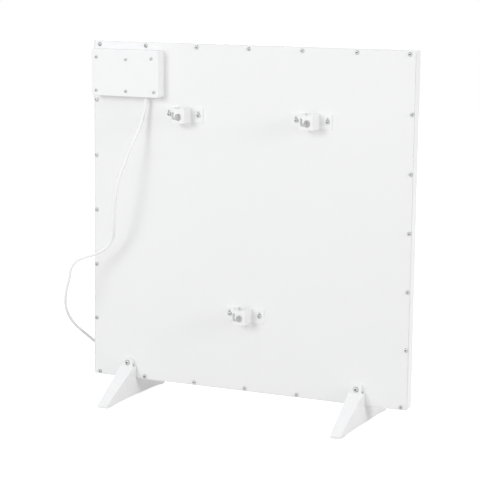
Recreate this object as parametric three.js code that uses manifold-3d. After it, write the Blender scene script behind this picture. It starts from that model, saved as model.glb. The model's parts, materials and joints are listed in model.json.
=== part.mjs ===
// An infrared panel heater on two feet, seen here from its back: a flat white steel panel with a
// screwed-on back plate, a connection box with a mains lead, and three hooks to hang it on a wall.
//
// Millimetres. X runs to the right seen from behind, Y out of the heating face, Z up. The origin lies
// on the floor under the middle of the panel, and the panel's middle plane is Y = 0.

import * as THREE from 'three';
import { mergeVertices } from 'three/addons/utils/BufferGeometryUtils.js';
import Module from 'manifold-3d';

const wasm = await Module();
wasm.setup();

// ---- Driving dimensions ----

// Panel
const panelWidth = 600;
const panelHeight = 602;
const panelDepth = 20;
const panelLift = 35; // bottom edge above the floor
const panSheet = 0.8;
const panCorner = 4;
const panLip = 18; // the pan's edge, folded in behind the back plate
const plateSheet = 0.8;
const plateGroove = 0.6; // between the back plate's edge and the pan's wall

// Screws round the back plate's edge
const screwsPerSide = 7;
const edgeInset = 5; // from the panel's edge to a screw
const topInset = 7; // the same for the top row
const cornerInset = 11.5; // the same for the four corner screws, sideways only
const edgeHole = 3.6;

// Layers inside, from the heating face back
const filmSheet = 0.8;
const filmMargin = 20; // from the panel's edge to the heating film's edge
const stripSheet = 0.4; // the bus bars and the foil share one layer
const busBarWidth = 12;
const busBarMargin = 4; // from the film's edge to a bus bar
const foilGap = 3; // between the foil and a bus bar
const boardMargin = 14; // from the panel's edge to the insulation board's edge

// Wall hooks: sheet bent into a hat, hung on screws in the wall by its keyhole
const hookSpread = 240; // between the two upper hooks
const hookShift = -1; // of all three, sideways from the panel's middle
const hookRise = 177; // upper hooks above the panel's middle
const hookDrop = 165; // lower hook below it
const hookWidth = 72;
const hookHeight = 26;
const hookStandOff = 28.5;
const hookCrown = 25.5; // width of the raised part
const hookSheet = 2;
const hookBend = 1; // inside radius of the bends
const hookScrewPitch = 57;
const hookSlotWidth = 4.6;
const hookSlotRise = 5; // how far the hook can be set up or down on its screws
const keyholeDiameter = 12.5;
const keyholeShift = 1.5;
const keyholeDrop = 2.3;
const keySlotWidth = 4.8;
const keySlotRun = 10.2; // from the keyhole to the upright slot
const keySlotRise = 9; // top of the upright slot above the keyhole's middle
const keySlotDrop = 5; // bottom of both slots below it
const notchWidth = 3.6; // centre mark in the top edge
const notchDepth = 2.6;
const hookHead = 7.6;
const hookHeadRise = 2.6;
const hookShank = 4;
const hookScrewLength = 10;

// Clinch nuts on the inside of the back plate, for the hooks' and the feet's screws
const nutDiameter = 9;
const nutRise = 4;
const nutPocket = 1.5; // room round a nut in the insulation board
const nutPocketDepth = 13;

// Feet
const footLeft = 228; // left foot from the panel's middle
const footRight = 210.5; // right foot from it
const footWidth = 27;
const footToeWidth = 19;
const footReach = 101; // from the panel's face to the toe's tip
const footShoulder = 22; // top of the wedge above the panel's bottom edge
const footShoulderDepth = 9.5; // thickness of the wedge at its top
const toeRise = 6.2; // height of the toe's blunt end
const toePad = 12; // length of sole that touches the floor
const soleRise = 2.4; // step behind the toe pad
const soleArch = 3; // further rise of the sole to the middle
const toeRound = 3;
const lugRadius = 9;
const lugDepth = 8.5;
const footScrewRise = 29; // above the panel's bottom edge
const footHead = 10;
const footHeadRise = 3;
const footShank = 5;
const footScrewLength = 20;

// Connection box
const boxWidth = 131;
const boxHeight = 81.5;
const boxDepth = 22;
const boxSide = 7.5; // from the panel's left edge to the box
const boxTop = 14; // from the panel's top edge to the box
const boxWall = 2.2;
const boxCorner = 3;
const boxEdge = 1; // rounding of the cover's rear edges
const baseSheet = 2;
const boxHead = 5.6;
const boxHeadRise = 2;
const boxShank = 3;
const boxScrewLength = 25;
const bossWall = 2;
const screwLeftInset = 9; // cover screws from the cover's sides
const screwRightInset = 8;
const screwTopInset = 14.5;
const screwBottomInset = 9.1;
const screwTopRightInset = 13.2; // the upper right one sits further in
const screwMiddleShift = 2.2; // the middle ones sit a little right of the middle
const screwMiddleDrop = 3; // and the upper middle one a little lower
const bayDepth = 5; // recess in the insulation board behind the box
const bayRim = 2; // the recess reaches this far past the box

// Mains lead
const cordDiameter = 6;
const cordSide = 29; // from the box's right side to the lead
const bushCollar = 12.4;
const bushCollarRise = 2.4;
const bushNeck = 9.6;
const coreDiameter = 2;
const coreSpread = 1.3; // from the lead's middle to a core's middle
const leadDiameter = 2.6; // of the heat-proof leads inside the panel
const leadBend = 3;
const tailLength = 20; // sheathed lead inside the box
const clampAt = 10; // cord clamp above the box's bottom wall
const clampWidth = 26;
const clampHeight = 7;
const clampSheet = 3;
const clampHead = 5;
const clampHeadRise = 1.6;
const clampShank = 2.6;
const clampScrewInset = 3; // from the clamp's end to a screw

// The length that is put away, in a flat coil on the floor before the heating face, and its plug
const coilX = -228;
const coilY = 170;
const coilInside = 30.8; // smallest radius of the cord's middle line
const coilPitch = 6.6; // between turns of one layer
const coilLayer = 6.6; // between the two layers
const coilTurnsIn = 2.25;
const coilTurnsOut = 2;
const coilStepsPerTurn = 24;
const floorClearance = 0.1;
const tieWidth = 6;
const tieSheet = 0.6;
const endRun = 46; // from the coil to the plug
const plugDiameter = 36;
const plugBody = 30;
const plugNeck = 12;
const plugNeckLength = 24;
const plugPin = 4.8;
const plugPinLength = 19;
const plugPinPitch = 19;

// Terminals, seen from behind with the cover off
const blockWidth = 24;
const blockHeight = 17;
const blockDepth = 13;
const blockLeft = 60; // its middle from the box's left side
const blockRise = 42; // its middle above the box's bottom side
const polePitch = 10;
const poleDiameter = 6;
const poleBore = 3.4;
const poleScrew = 3;
const poleScrewSink = 0.5;
const poleGrip = 6; // length of wire inside a pole
const grommetLeft = 32;
const grommetRise = 58;
const grommetBore = 8;
const grommetCollar = 16;
const grommetNeck = 12;
const grommetCollarRise = 1.4;
const leadSpread = 1.8; // from the grommet's middle to a lead's middle
const studLeft = 28;
const studRise = 28;
const studDiameter = 4;
const studLength = 11;
const nutFlats = 7;
const earthNutRise = 3.2;
const tongueSheet = 0.8;
const tongueDiameter = 8;
const barrelLength = 5;
const barrelRise = 3;
const cutoutDiameter = 16;
const cutoutRise = 8;
const cutoutLeft = 50;
const cutoutRiseInBox = 24;
const cutoutBladeWidth = 5;
const cutoutBladeSheet = 0.8;
const cutoutBladeLength = 4;
const cutoutBladeRise = 2; // above the cut-out's rear face
const cutoutPocket = 2.5; // room round the cut-out in the insulation board
const channelWidth = 7; // for the leads, in the front face of the insulation board
const channelDepth = 5;
const padSize = 6; // solder pads where the leads meet the bus bars
const padSheet = 1;

// Flat sides of the larger round forms
const keyholeSides = 20;
const lugSides = 24;
const cutoutSides = 20;
const boreSides = 16;
const footHeadSides = 14;

// Fits
const slip = 0.3; // between a piece and the hole, wall or groove that it goes into
const touch = 0.3; // between round pieces that meet end to end

// ---- Places that follow from them ----

const backY = -panelDepth / 2;
const frontY = panelDepth / 2;
const middleZ = panelLift + panelHeight / 2;
const plateInsideY = backY + plateSheet;
const lipInsideY = plateInsideY + panSheet;
const filmY = frontY - panSheet - filmSheet; // rear face of the heating film
const stripY = filmY - stripSheet; // rear face of the bus bars and the foil
const filmWidth = panelWidth - 2 * filmMargin;
const filmHeight = panelHeight - 2 * filmMargin;
const busBarX = filmWidth / 2 - busBarMargin - busBarWidth / 2;
const busBarHeight = filmHeight - 2 * busBarMargin;
const boxLeftX = -panelWidth / 2 + boxSide;
const boxRightX = boxLeftX + boxWidth;
const boxTopZ = panelLift + panelHeight - boxTop;
const boxBottomZ = boxTopZ - boxHeight;
const boxBackY = backY - boxDepth; // the cover's outer face, furthest from the panel
const baseY = backY - baseSheet; // top of the box's base plate
const cordX = boxRightX - cordSide;
const cordY = backY - boxDepth / 2;

const heater = new THREE.Group();

// ---- Materials ----

const finish = (color, roughness, metalness = 0) =>
  new THREE.MeshStandardMaterial({ color, roughness, metalness });

const whiteEnamel = finish(0xf1f2f4, 0.45);
const whitePlate = finish(0xeff0f3, 0.55);
const whitePlastic = finish(0xf4f5f7, 0.5);
const whiteSheath = finish(0xf3f3f1, 0.6);
const zinc = finish(0xb9bbb8, 0.35, 1);
const brass = finish(0xc9a45c, 0.35, 1);
const copper = finish(0xc77b4f, 0.35, 1);
const aluminium = finish(0xd0d3d6, 0.25, 1);
const carbon = finish(0x202225, 0.7);
const wool = finish(0xd9c98f, 0.95);
const rubber = finish(0x25272a, 0.8);
const ceramic = finish(0xe9e4d8, 0.6);
const brownWire = finish(0x6b3f25, 0.5);
const blueWire = finish(0x2a5fa8, 0.5);
const earthWire = finish(0x7fae3a, 0.5);
const strap = finish(0xcfcfcc, 0.9);
const silicone = finish(0xa83a32, 0.6);

// ---- Shapes ----

// A closed mesh as a solid that can be cut and joined.
function solid(geometry) {
  const bare = geometry.clone();
  bare.deleteAttribute('normal');
  bare.deleteAttribute('uv');
  const merged = mergeVertices(bare, 1e-4);
  const mesh = new wasm.Mesh({
    numProp: 3,
    vertProperties: new Float32Array(merged.attributes.position.array),
    triVerts: new Uint32Array(merged.index.array),
  });
  return new wasm.Manifold(mesh);
}

// And back, as flat triangles that three.js can shade.
function geometryOf(body) {
  const { numProp, vertProperties, triVerts } = body.getMesh();
  const positions = new Float32Array(triVerts.length * 3);
  triVerts.forEach((vertex, i) => {
    for (let axis = 0; axis < 3; axis++) {
      positions[3 * i + axis] = vertProperties[numProp * vertex + axis];
    }
  });
  const geometry = new THREE.BufferGeometry();
  geometry.setAttribute('position', new THREE.BufferAttribute(positions, 3));
  geometry.computeVertexNormals();
  return geometry;
}

const joined = (bodies) => bodies.reduce((sum, body) => sum.add(body));

const cut = (body, tools) => body.subtract(joined(tools));

function add(name, body, material, place = [0, 0, 0]) {
  const mesh = new THREE.Mesh(body.isBufferGeometry ? body : geometryOf(body), material);
  mesh.name = name;
  mesh.position.set(...place);
  heater.add(mesh);
}

// Adds a copy at each X and Z, all at one Y, with a number after the name.
function addRow(name, body, material, spots, y) {
  spots.forEach(([x, z], i) => add(`${name}_${i + 1}`, body, material, [x, y, z]));
}

// An outline drawn in X and Z, made thick along Y from y0 to y1.
function slab(outline, y0, y1, curveSegments = 4) {
  const geometry = new THREE.ExtrudeGeometry(outline, {
    depth: y1 - y0,
    bevelEnabled: false,
    curveSegments,
  });
  geometry.rotateX(Math.PI / 2);
  geometry.translate(0, y1, 0);
  return solid(geometry);
}

function rectangle(x0, x1, z0, z1, radius = 0) {
  const shape = new THREE.Shape();
  if (radius <= 0) {
    shape.moveTo(x0, z0).lineTo(x1, z0).lineTo(x1, z1).lineTo(x0, z1).closePath();
    return shape;
  }
  const quarter = Math.PI / 2;
  shape.moveTo(x0 + radius, z0);
  shape.lineTo(x1 - radius, z0).absarc(x1 - radius, z0 + radius, radius, -quarter, 0);
  shape.lineTo(x1, z1 - radius).absarc(x1 - radius, z1 - radius, radius, 0, quarter);
  shape.lineTo(x0 + radius, z1).absarc(x0 + radius, z1 - radius, radius, quarter, 2 * quarter);
  shape.lineTo(x0, z0 + radius).absarc(x0 + radius, z0 + radius, radius, 2 * quarter, 3 * quarter);
  return shape;
}

const block = (x0, x1, y0, y1, z0, z1) => slab(rectangle(x0, x1, z0, z1), y0, y1);

// A block given by its middle and its half sizes in X and Z.
const blockAt = (x, z, halfX, halfZ, y0, y1) => block(x - halfX, x + halfX, y0, y1, z - halfZ, z + halfZ);

// A slot with round ends between two points.
function slot(x0, z0, x1, z1, width, y0, y1) {
  const along = Math.atan2(z1 - z0, x1 - x0);
  const shape = new THREE.Shape();
  shape.absarc(x1, z1, width / 2, along - Math.PI / 2, along + Math.PI / 2);
  shape.absarc(x0, z0, width / 2, along + Math.PI / 2, along + 1.5 * Math.PI);
  return slab(shape, y0, y1);
}

// A round bar or hole along Y.
function rod(x, z, diameter, y0, y1, sides = 12) {
  const geometry = new THREE.CylinderGeometry(diameter / 2, diameter / 2, y1 - y0, sides);
  geometry.translate(x, (y0 + y1) / 2, z);
  return solid(geometry);
}

const rods = (spots, diameter, y0, y1, sides = 8) =>
  spots.map(([x, z]) => rod(x, z, diameter, y0, y1, sides));

// A shape turned round the Y axis. Each point gives a radius and a Y.
function turned(points, sides) {
  return solid(new THREE.LatheGeometry(points.map(([r, y]) => new THREE.Vector2(r, y)), sides));
}

// The same, stood upright: each point gives a radius and a Z.
function turnedUpright(points, sides) {
  const geometry = new THREE.LatheGeometry(points.map(([r, z]) => new THREE.Vector2(r, z)), sides);
  geometry.rotateX(Math.PI / 2);
  return solid(geometry);
}

const uprightRod = (diameter, z0, z1, sides = 12) =>
  turnedUpright([[0, z0], [diameter / 2, z0], [diameter / 2, z1], [0, z1]], sides);

// A round wire or cord through a line of stations, as one closed tube. Each ring is square to the
// line, and is carried along it without twisting.
function wire(stations, diameter, sides = 8) {
  const last = stations.length - 1;
  const positions = [];
  const indices = [];
  const side = new THREE.Vector3();
  stations.forEach((here, i) => {
    const along = stations[Math.min(i + 1, last)].clone().sub(stations[Math.max(i - 1, 0)]).normalize();
    if (i === 0) side.set(Math.abs(along.x) > 0.5 ? 0 : 1, Math.abs(along.x) > 0.5 ? 1 : 0, 0);
    side.addScaledVector(along, -side.dot(along)).normalize();
    const other = along.clone().cross(side);
    for (let k = 0; k < sides; k++) {
      const turn = (2 * Math.PI * k) / sides;
      const point = here.clone();
      point.addScaledVector(side, (Math.cos(turn) * diameter) / 2);
      point.addScaledVector(other, (Math.sin(turn) * diameter) / 2);
      positions.push(...point.toArray());
    }
  });
  for (let i = 0; i < last; i++) {
    for (let k = 0; k < sides; k++) {
      const [a, b] = [i * sides + k, i * sides + ((k + 1) % sides)];
      indices.push(a, b, a + sides, b, b + sides, a + sides);
    }
  }
  for (let k = 1; k < sides - 1; k++) {
    indices.push(0, k + 1, k);
    indices.push(last * sides, last * sides + k, last * sides + k + 1);
  }
  const geometry = new THREE.BufferGeometry();
  geometry.setAttribute('position', new THREE.Float32BufferAttribute(positions, 3));
  geometry.setIndex(indices);
  geometry.computeVertexNormals();
  return geometry;
}

// Stations along straight runs between points, with the corners rounded.
function bentLine(points, bend) {
  const corners = points.map((point) => new THREE.Vector3(...point));
  const stations = [corners[0]];
  for (let i = 1; i < corners.length - 1; i++) {
    const corner = corners[i];
    const ends = [corners[i - 1], corners[i + 1]].map((next) => {
      const away = next.clone().sub(corner);
      const reach = Math.min(bend, 0.45 * away.length());
      return corner.clone().addScaledVector(away.normalize(), reach);
    });
    stations.push(...new THREE.QuadraticBezierCurve3(ends[0], corner, ends[1]).getPoints(3));
  }
  stations.push(corners.at(-1));
  return stations;
}

// A pan head screw along Y with its head's seat at Y = 0, the head towards -Y and a cross in it.
function screw({ head, rise, shank, length, sides = 10, cross = false }) {
  const point = shank / 2;
  const body = turned(
    [
      [0, -rise],
      [0.3 * head, -rise],
      [0.45 * head, -0.62 * rise],
      [head / 2, -0.3 * rise],
      [head / 2, 0],
      [shank / 2, 0],
      [shank / 2, length - point],
      [0, length],
    ],
    sides,
  );
  if (!cross) return body;
  const arm = 0.28 * head;
  const half = 0.06 * head;
  const floor = -0.35 * rise;
  return body
    .subtract(blockAt(0, 0, arm, half, -2 * rise, floor))
    .subtract(blockAt(0, 0, half, arm, -2 * rise, floor));
}

const row = (count, pitch) => Array.from({ length: count }, (_, i) => (i - (count - 1) / 2) * pitch);

// ---- Where the fasteners and the box's fittings go ----

function edgeScrewSpots() {
  const halfX = panelWidth / 2 - edgeInset;
  const halfZ = (panelHeight - edgeInset - topInset) / 2;
  const rowsMiddleZ = middleZ + (edgeInset - topInset) / 2;
  const stepX = (2 * halfX) / (screwsPerSide - 1);
  const stepZ = (2 * halfZ) / (screwsPerSide - 1);
  const cornerX = panelWidth / 2 - cornerInset;
  const spots = [];
  for (const side of [-1, 1]) {
    const edgeZ = rowsMiddleZ + side * halfZ;
    spots.push(...row(screwsPerSide - 2, stepX).map((x) => [x, edgeZ]));
    spots.push(...row(screwsPerSide - 2, stepZ).map((z) => [side * halfX, rowsMiddleZ + z]));
    spots.push([-cornerX, edgeZ], [cornerX, edgeZ]);
  }
  return spots;
}

const hooks = [
  { name: 'wall_hook_upper_left', x: hookShift - hookSpread / 2, z: middleZ + hookRise },
  { name: 'wall_hook_upper_right', x: hookShift + hookSpread / 2, z: middleZ + hookRise },
  { name: 'wall_hook_lower', x: hookShift, z: middleZ - hookDrop },
];

const hookScrewSpots = hooks.flatMap(({ x, z }) => row(2, hookScrewPitch).map((side) => [x + side, z]));

const feet = [
  { name: 'foot_left', x: -footLeft },
  { name: 'foot_right', x: footRight },
];

const footScrewSpots = feet.map(({ x }) => [x, panelLift + footScrewRise]);

const boxMiddleX = (boxLeftX + boxRightX) / 2 + screwMiddleShift;
const upperScrewZ = boxTopZ - screwTopInset;
const lowerScrewZ = boxBottomZ + screwBottomInset;
const coverScrewSpots = [
  [boxLeftX + screwLeftInset, upperScrewZ],
  [boxMiddleX, upperScrewZ - screwMiddleDrop],
  [boxRightX - screwTopRightInset, upperScrewZ],
  [boxLeftX + screwLeftInset, lowerScrewZ],
  [boxMiddleX, lowerScrewZ],
  [boxRightX - screwRightInset, lowerScrewZ],
];

const clampZ = boxBottomZ + boxWall + clampAt;
const clampScrewSpots = [-1, 1].map((side) => [cordX + side * (clampWidth / 2 - clampScrewInset), clampZ]);

const grommetX = boxLeftX + grommetLeft;
const grommetZ = boxBottomZ + grommetRise;
const studX = boxLeftX + studLeft;
const studZ = boxBottomZ + studRise;
const cutoutX = boxLeftX + cutoutLeft;
const cutoutZ = boxBottomZ + cutoutRiseInBox;
const blockX = boxLeftX + blockLeft;
const blockZ = boxBottomZ + blockRise;
const poleXs = row(2, polePitch).map((x) => blockX + x);
const poleY = baseY - blockDepth / 2;

// ---- Panel ----

function frontPan() {
  const half = panelWidth / 2;
  const [z0, z1] = [panelLift, panelLift + panelHeight];
  const outside = slab(rectangle(-half, half, z0, z1, panCorner), backY, frontY);
  const inner = half - panSheet;
  const insideCorner = Math.max(panCorner - panSheet, 0);
  const hollow = rectangle(-inner, inner, z0 + panSheet, z1 - panSheet, insideCorner);
  const opening = rectangle(-half + panLip, half - panLip, z0 + panLip, z1 - panLip);
  return cut(outside, [
    slab(hollow, backY - 1, plateInsideY),
    slab(hollow, lipInsideY, frontY - panSheet),
    slab(opening, backY - 1, lipInsideY + 1),
    ...rods(edgeScrewSpots(), edgeHole, plateInsideY - 1, lipInsideY + 1),
    ...rods(coverScrewSpots, boxShank + 2 * slip, plateInsideY - 1, lipInsideY + 1),
  ]);
}

function backPlate() {
  const inset = panSheet + plateGroove;
  const half = panelWidth / 2 - inset;
  const corner = Math.max(panCorner - inset, 0.5);
  const outline = rectangle(-half, half, panelLift + inset, panelLift + panelHeight - inset, corner);
  const through = [backY - 1, plateInsideY + 1];
  return cut(slab(outline, backY, plateInsideY), [
    ...rods(edgeScrewSpots(), edgeHole, ...through),
    ...rods(hookScrewSpots, hookShank + 2 * slip, ...through),
    ...rods(footScrewSpots, footShank + 2 * slip, ...through),
    ...rods(coverScrewSpots, boxShank + 2 * slip, ...through),
    rod(grommetX, grommetZ, grommetNeck + 2 * slip, ...through, boreSides),
  ]);
}

const cutoutPocketHalf = cutoutDiameter / 2 + cutoutBladeLength + cutoutPocket;
const leadDiveZ = cutoutZ + cutoutPocketHalf + 2 * channelWidth - leadBend; // the live lead dives here
const busLeadZ = cutoutZ - cutoutPocketHalf - channelWidth / 2 + 1; // and leaves again here

// What is cut out of the insulation board: room for the nuts, a bay behind the box, and in it a
// pocket for the cut-out, the leads' way through and their channels to the bus bars.
function boardPockets() {
  const outsideY = lipInsideY - 1;
  const throughY = stripY + 1;
  const boardEdge = -panelWidth / 2 + boardMargin;
  const boardTop = panelLift + panelHeight - boardMargin;
  const channelY = stripY - channelDepth;
  const half = channelWidth / 2;
  return [
    ...rods([...hookScrewSpots, ...footScrewSpots], nutDiameter + 2 * nutPocket, outsideY, nutPocketY, 10),
    block(boardEdge - 1, boxRightX + bayRim, outsideY, bayY, boxBottomZ - bayRim, boardTop + 1),
    block(
      cutoutX - cutoutPocketHalf,
      cutoutX + cutoutPocketHalf,
      outsideY,
      throughY,
      cutoutZ - cutoutPocketHalf,
      leadDiveZ + half,
    ),
    blockAt(grommetX, grommetZ, channelWidth, half, outsideY, throughY),
    block(grommetX, busBarX + half, channelY, throughY, grommetZ - half, grommetZ + half),
    block(-busBarX - half, cutoutX + half, bladeY - half, throughY, busLeadZ - half, busLeadZ + half),
  ];
}

const nutPocketY = plateInsideY + nutPocketDepth;
const bayY = plateInsideY + bayDepth;

function insulationBoard() {
  const half = panelWidth / 2 - boardMargin;
  const [z0, z1] = [panelLift + boardMargin, panelLift + panelHeight - boardMargin];
  return cut(slab(rectangle(-half, half, z0, z1), lipInsideY, stripY), boardPockets());
}

// A copper strip along the film's side, with the pad that its lead is soldered to.
function busBar(x, padZ) {
  const strip = blockAt(x, middleZ, busBarWidth / 2, busBarHeight / 2, stripY, filmY);
  return strip.add(blockAt(x, padZ, padSize / 2, padSize / 2, stripY - padSheet, filmY));
}

function reflectorFoil() {
  return blockAt(0, middleZ, busBarX - busBarWidth / 2 - foilGap, busBarHeight / 2, stripY, filmY);
}

function heatingFilm() {
  return blockAt(0, middleZ, filmWidth / 2, filmHeight / 2, filmY, frontY - panSheet);
}

// A nut pressed into the inside of the back plate, its face at Y = 0.
function clinchNut(bore) {
  return rod(0, 0, nutDiameter, 0, nutRise).subtract(rod(0, 0, bore + 2 * slip, -1, nutRise + 1, 8));
}

// ---- Wall hooks ----

// The hat's outline in X and in D, the distance from the back plate.
function hatOutline() {
  const end = hookWidth / 2;
  const side = hookCrown / 2;
  const outer = hookBend + hookSheet;
  const bendX = side + hookBend;
  const crownX = side - outer;
  const crownD = hookStandOff - outer;
  const quarter = Math.PI / 2;
  const shape = new THREE.Shape();
  shape.moveTo(-end, 0).lineTo(-bendX, 0);
  shape.absarc(-bendX, outer, outer, -quarter, 0);
  shape.lineTo(-side + hookSheet, crownD).absarc(-crownX, crownD, hookBend, Math.PI, quarter, true);
  shape.lineTo(crownX, hookStandOff - hookSheet).absarc(crownX, crownD, hookBend, quarter, 0, true);
  shape.lineTo(side - hookSheet, outer).absarc(bendX, outer, outer, Math.PI, 3 * quarter);
  shape.lineTo(end, 0).lineTo(end, hookSheet).lineTo(bendX, hookSheet);
  shape.absarc(bendX, outer, hookBend, -quarter, Math.PI, true);
  shape.lineTo(side, crownD).absarc(crownX, crownD, outer, 0, quarter);
  shape.lineTo(-crownX, hookStandOff).absarc(-crownX, crownD, outer, quarter, Math.PI);
  shape.lineTo(-side, outer).absarc(-bendX, outer, hookBend, 0, -quarter, true);
  shape.lineTo(-end, hookSheet).closePath();
  return shape;
}

// The hook about its screws' line, with its flanges' seat at Y = 0 and its crown towards -Y.
function wallHook() {
  const hat = new THREE.ExtrudeGeometry(hatOutline(), {
    depth: hookHeight,
    bevelEnabled: false,
    curveSegments: 3,
  });
  hat.scale(1, -1, -1);
  hat.translate(0, 0, hookHeight / 2);
  const crownY = [-hookStandOff - 1, -hookStandOff + hookSheet + 1];
  const flangeY = [-hookSheet - 1, 1];
  const keyZ = -keyholeDrop;
  const slotX = keyholeShift - keySlotRun;
  const slotZ = keyZ - keySlotDrop + keySlotWidth / 2;
  const topZ = hookHeight / 2;
  const notch = new THREE.Shape();
  notch.moveTo(-notchWidth / 2, topZ).lineTo(0, topZ - notchDepth).lineTo(notchWidth / 2, topZ);
  notch.lineTo(notchWidth / 2, topZ + 1).lineTo(-notchWidth / 2, topZ + 1).closePath();
  return cut(solid(hat), [
    rod(keyholeShift, keyZ, keyholeDiameter, ...crownY, keyholeSides),
    slot(keyholeShift, slotZ, slotX, slotZ, keySlotWidth, ...crownY),
    slot(slotX, slotZ, slotX, keyZ + keySlotRise - keySlotWidth / 2, keySlotWidth, ...crownY),
    slab(notch, ...crownY),
    ...row(2, hookScrewPitch).map((x) => slot(x, 0, x, hookSlotRise, hookSlotWidth, ...flangeY)),
  ]);
}

// ---- Feet ----

// The foot seen from the side, drawn in Y and Z: a wedge before and behind, and the groove that the
// panel stands in. The sole touches the floor at the two toes only.
function footOutline() {
  const face = panelDepth / 2;
  const tip = face + footReach;
  const top = panelLift + footShoulder;
  const heel = tip - toeRound - toePad;
  const half = (side) => [
    [side * (face + slip), panelLift],
    [side * (face + slip), top],
    [side * (face + footShoulderDepth), top],
    [side * (tip - 0.3 * toeRound), toeRise],
    [side * tip, 0.65 * toeRise],
    [side * (tip - 0.15 * toeRound), 0.25 * toeRise],
    [side * (tip - toeRound), 0],
    [side * heel, 0],
    [side * (heel - 4 * soleRise), soleRise],
    [side * (0.5 * heel), soleRise + 0.7 * soleArch],
    [side * face, soleRise + soleArch],
  ];
  const points = [...half(-1), ...half(1).reverse()];
  return new THREE.Shape(points.map(([y, z]) => new THREE.Vector2(y, z)));
}

// The foot seen from above, drawn in X and Y: widest under the panel, narrower at the toes.
function footPlan() {
  const face = panelDepth / 2;
  const tip = face + footReach;
  const wide = footWidth / 2;
  const toe = footToeWidth / 2;
  const corner = tip - toeRound;
  const shape = new THREE.Shape();
  shape.moveTo(wide, -face).lineTo(wide, face).lineTo(toe, corner);
  shape.quadraticCurveTo(toe, tip, toe - toeRound, tip).lineTo(toeRound - toe, tip);
  shape.quadraticCurveTo(-toe, tip, -toe, corner).lineTo(-wide, face).lineTo(-wide, -face);
  shape.lineTo(-toe, -corner).quadraticCurveTo(-toe, -tip, toeRound - toe, -tip);
  shape.lineTo(toe - toeRound, -tip).quadraticCurveTo(toe, -tip, toe, -corner).closePath();
  return shape;
}

function foot() {
  const wedge = new THREE.ExtrudeGeometry(footOutline(), { depth: footWidth, bevelEnabled: false });
  const turnWedge = new THREE.Matrix4().set(0, 0, 1, -footWidth / 2, 1, 0, 0, 0, 0, 1, 0, 0, 0, 0, 0, 1);
  wedge.applyMatrix4(turnWedge);
  const shoulderZ = panelLift + footShoulder;
  const plan = new THREE.ExtrudeGeometry(footPlan(), {
    depth: shoulderZ + 2,
    bevelEnabled: false,
    curveSegments: 3,
  });
  plan.translate(0, 0, -1);
  const lugY = [backY - lugDepth, backY - slip];
  const screwZ = panelLift + footScrewRise;
  return solid(wedge)
    .intersect(solid(plan))
    .add(rod(0, screwZ, 2 * lugRadius, ...lugY, lugSides))
    .add(block(-lugRadius, lugRadius, ...lugY, shoulderZ - 1, screwZ))
    .subtract(rod(0, screwZ, footShank + 2 * slip, lugY[0] - 1, 0, 12));
}

// ---- Connection box ----

function boxCover() {
  const outline = rectangle(
    boxLeftX + boxEdge,
    boxRightX - boxEdge,
    boxBottomZ + boxEdge,
    boxTopZ - boxEdge,
    boxCorner - boxEdge,
  );
  const shell = new THREE.ExtrudeGeometry(outline, {
    depth: boxDepth - 2 * boxEdge,
    bevelThickness: boxEdge,
    bevelSize: boxEdge,
    bevelSegments: 2,
    curveSegments: 3,
  });
  shell.rotateX(Math.PI / 2);
  shell.translate(0, backY - boxEdge, 0);
  // the open side has no rounding, so it is filled out square
  const skirtY = [backY - 2 * boxEdge, backY];
  const skirt = slab(rectangle(boxLeftX, boxRightX, boxBottomZ, boxTopZ, boxCorner), ...skirtY);
  const [x0, x1] = [boxLeftX + boxWall, boxRightX - boxWall];
  const [z0, z1] = [boxBottomZ + boxWall, boxTopZ - boxWall];
  const hollowCorner = Math.max(boxCorner - boxWall, 0);
  const hollow = slab(rectangle(x0, x1, z0, z1, hollowCorner), boxBackY + boxWall, backY + 1);
  const screwHole = boxShank + 2 * slip;
  const bossY = [boxBackY + 0.5 * boxWall, baseY - slip];
  const cordHole = uprightRod(bushNeck + 2 * slip, -1, boxWall + 1, boreSides);
  return solid(shell)
    .add(skirt)
    .subtract(hollow)
    .add(joined(rods(coverScrewSpots, screwHole + 2 * bossWall, ...bossY, 12)))
    .subtract(joined(rods(coverScrewSpots, screwHole, boxBackY - 1, backY + 1)))
    .subtract(cordHole.translate([cordX, cordY, boxBottomZ]));
}

// The plate that carries the terminals, with the saddle that the lead is clamped to.
function boxBase() {
  const gap = boxWall + slip;
  const outline = rectangle(boxLeftX + gap, boxRightX - gap, boxBottomZ + gap, boxTopZ - gap, slip);
  const saddleY = cordY + cordDiameter / 2 + slip;
  const saddle = blockAt(cordX, clampZ, clampWidth / 2, clampHeight / 2, saddleY, baseY);
  const through = [baseY - 1, backY + 1];
  return cut(slab(outline, baseY, backY).add(saddle), [
    ...rods(coverScrewSpots, boxShank + 2 * slip, ...through),
    ...rods(clampScrewSpots, clampShank + 2 * slip, saddleY - 1, backY + 1),
    rod(grommetX, grommetZ, grommetCollar + 2 * slip, ...through, boreSides),
    rod(studX, studZ, studDiameter + 2 * slip, ...through, 10),
  ]);
}

const clampFaceY = cordY - cordDiameter / 2 - slip;

function cordClamp() {
  const bar = blockAt(cordX, clampZ, clampWidth / 2, clampHeight / 2, clampFaceY - clampSheet, clampFaceY);
  const through = [clampFaceY - clampSheet - 1, clampFaceY + 1];
  return cut(bar, rods(clampScrewSpots, clampShank + 2 * slip, ...through));
}

// The bush that lines the lead's hole: flush outside, with a collar inside the wall.
function cordBush() {
  const bore = cordDiameter / 2 + slip;
  const collar = bushCollar / 2;
  const neck = bushNeck / 2;
  const seat = boxWall + slip;
  const top = seat + bushCollarRise;
  return turnedUpright(
    [[bore, 0], [neck, 0], [neck, seat], [collar, seat], [collar, top], [bore, top], [bore, 0]],
    16,
  );
}

// ---- Terminals and wiring ----

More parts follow.
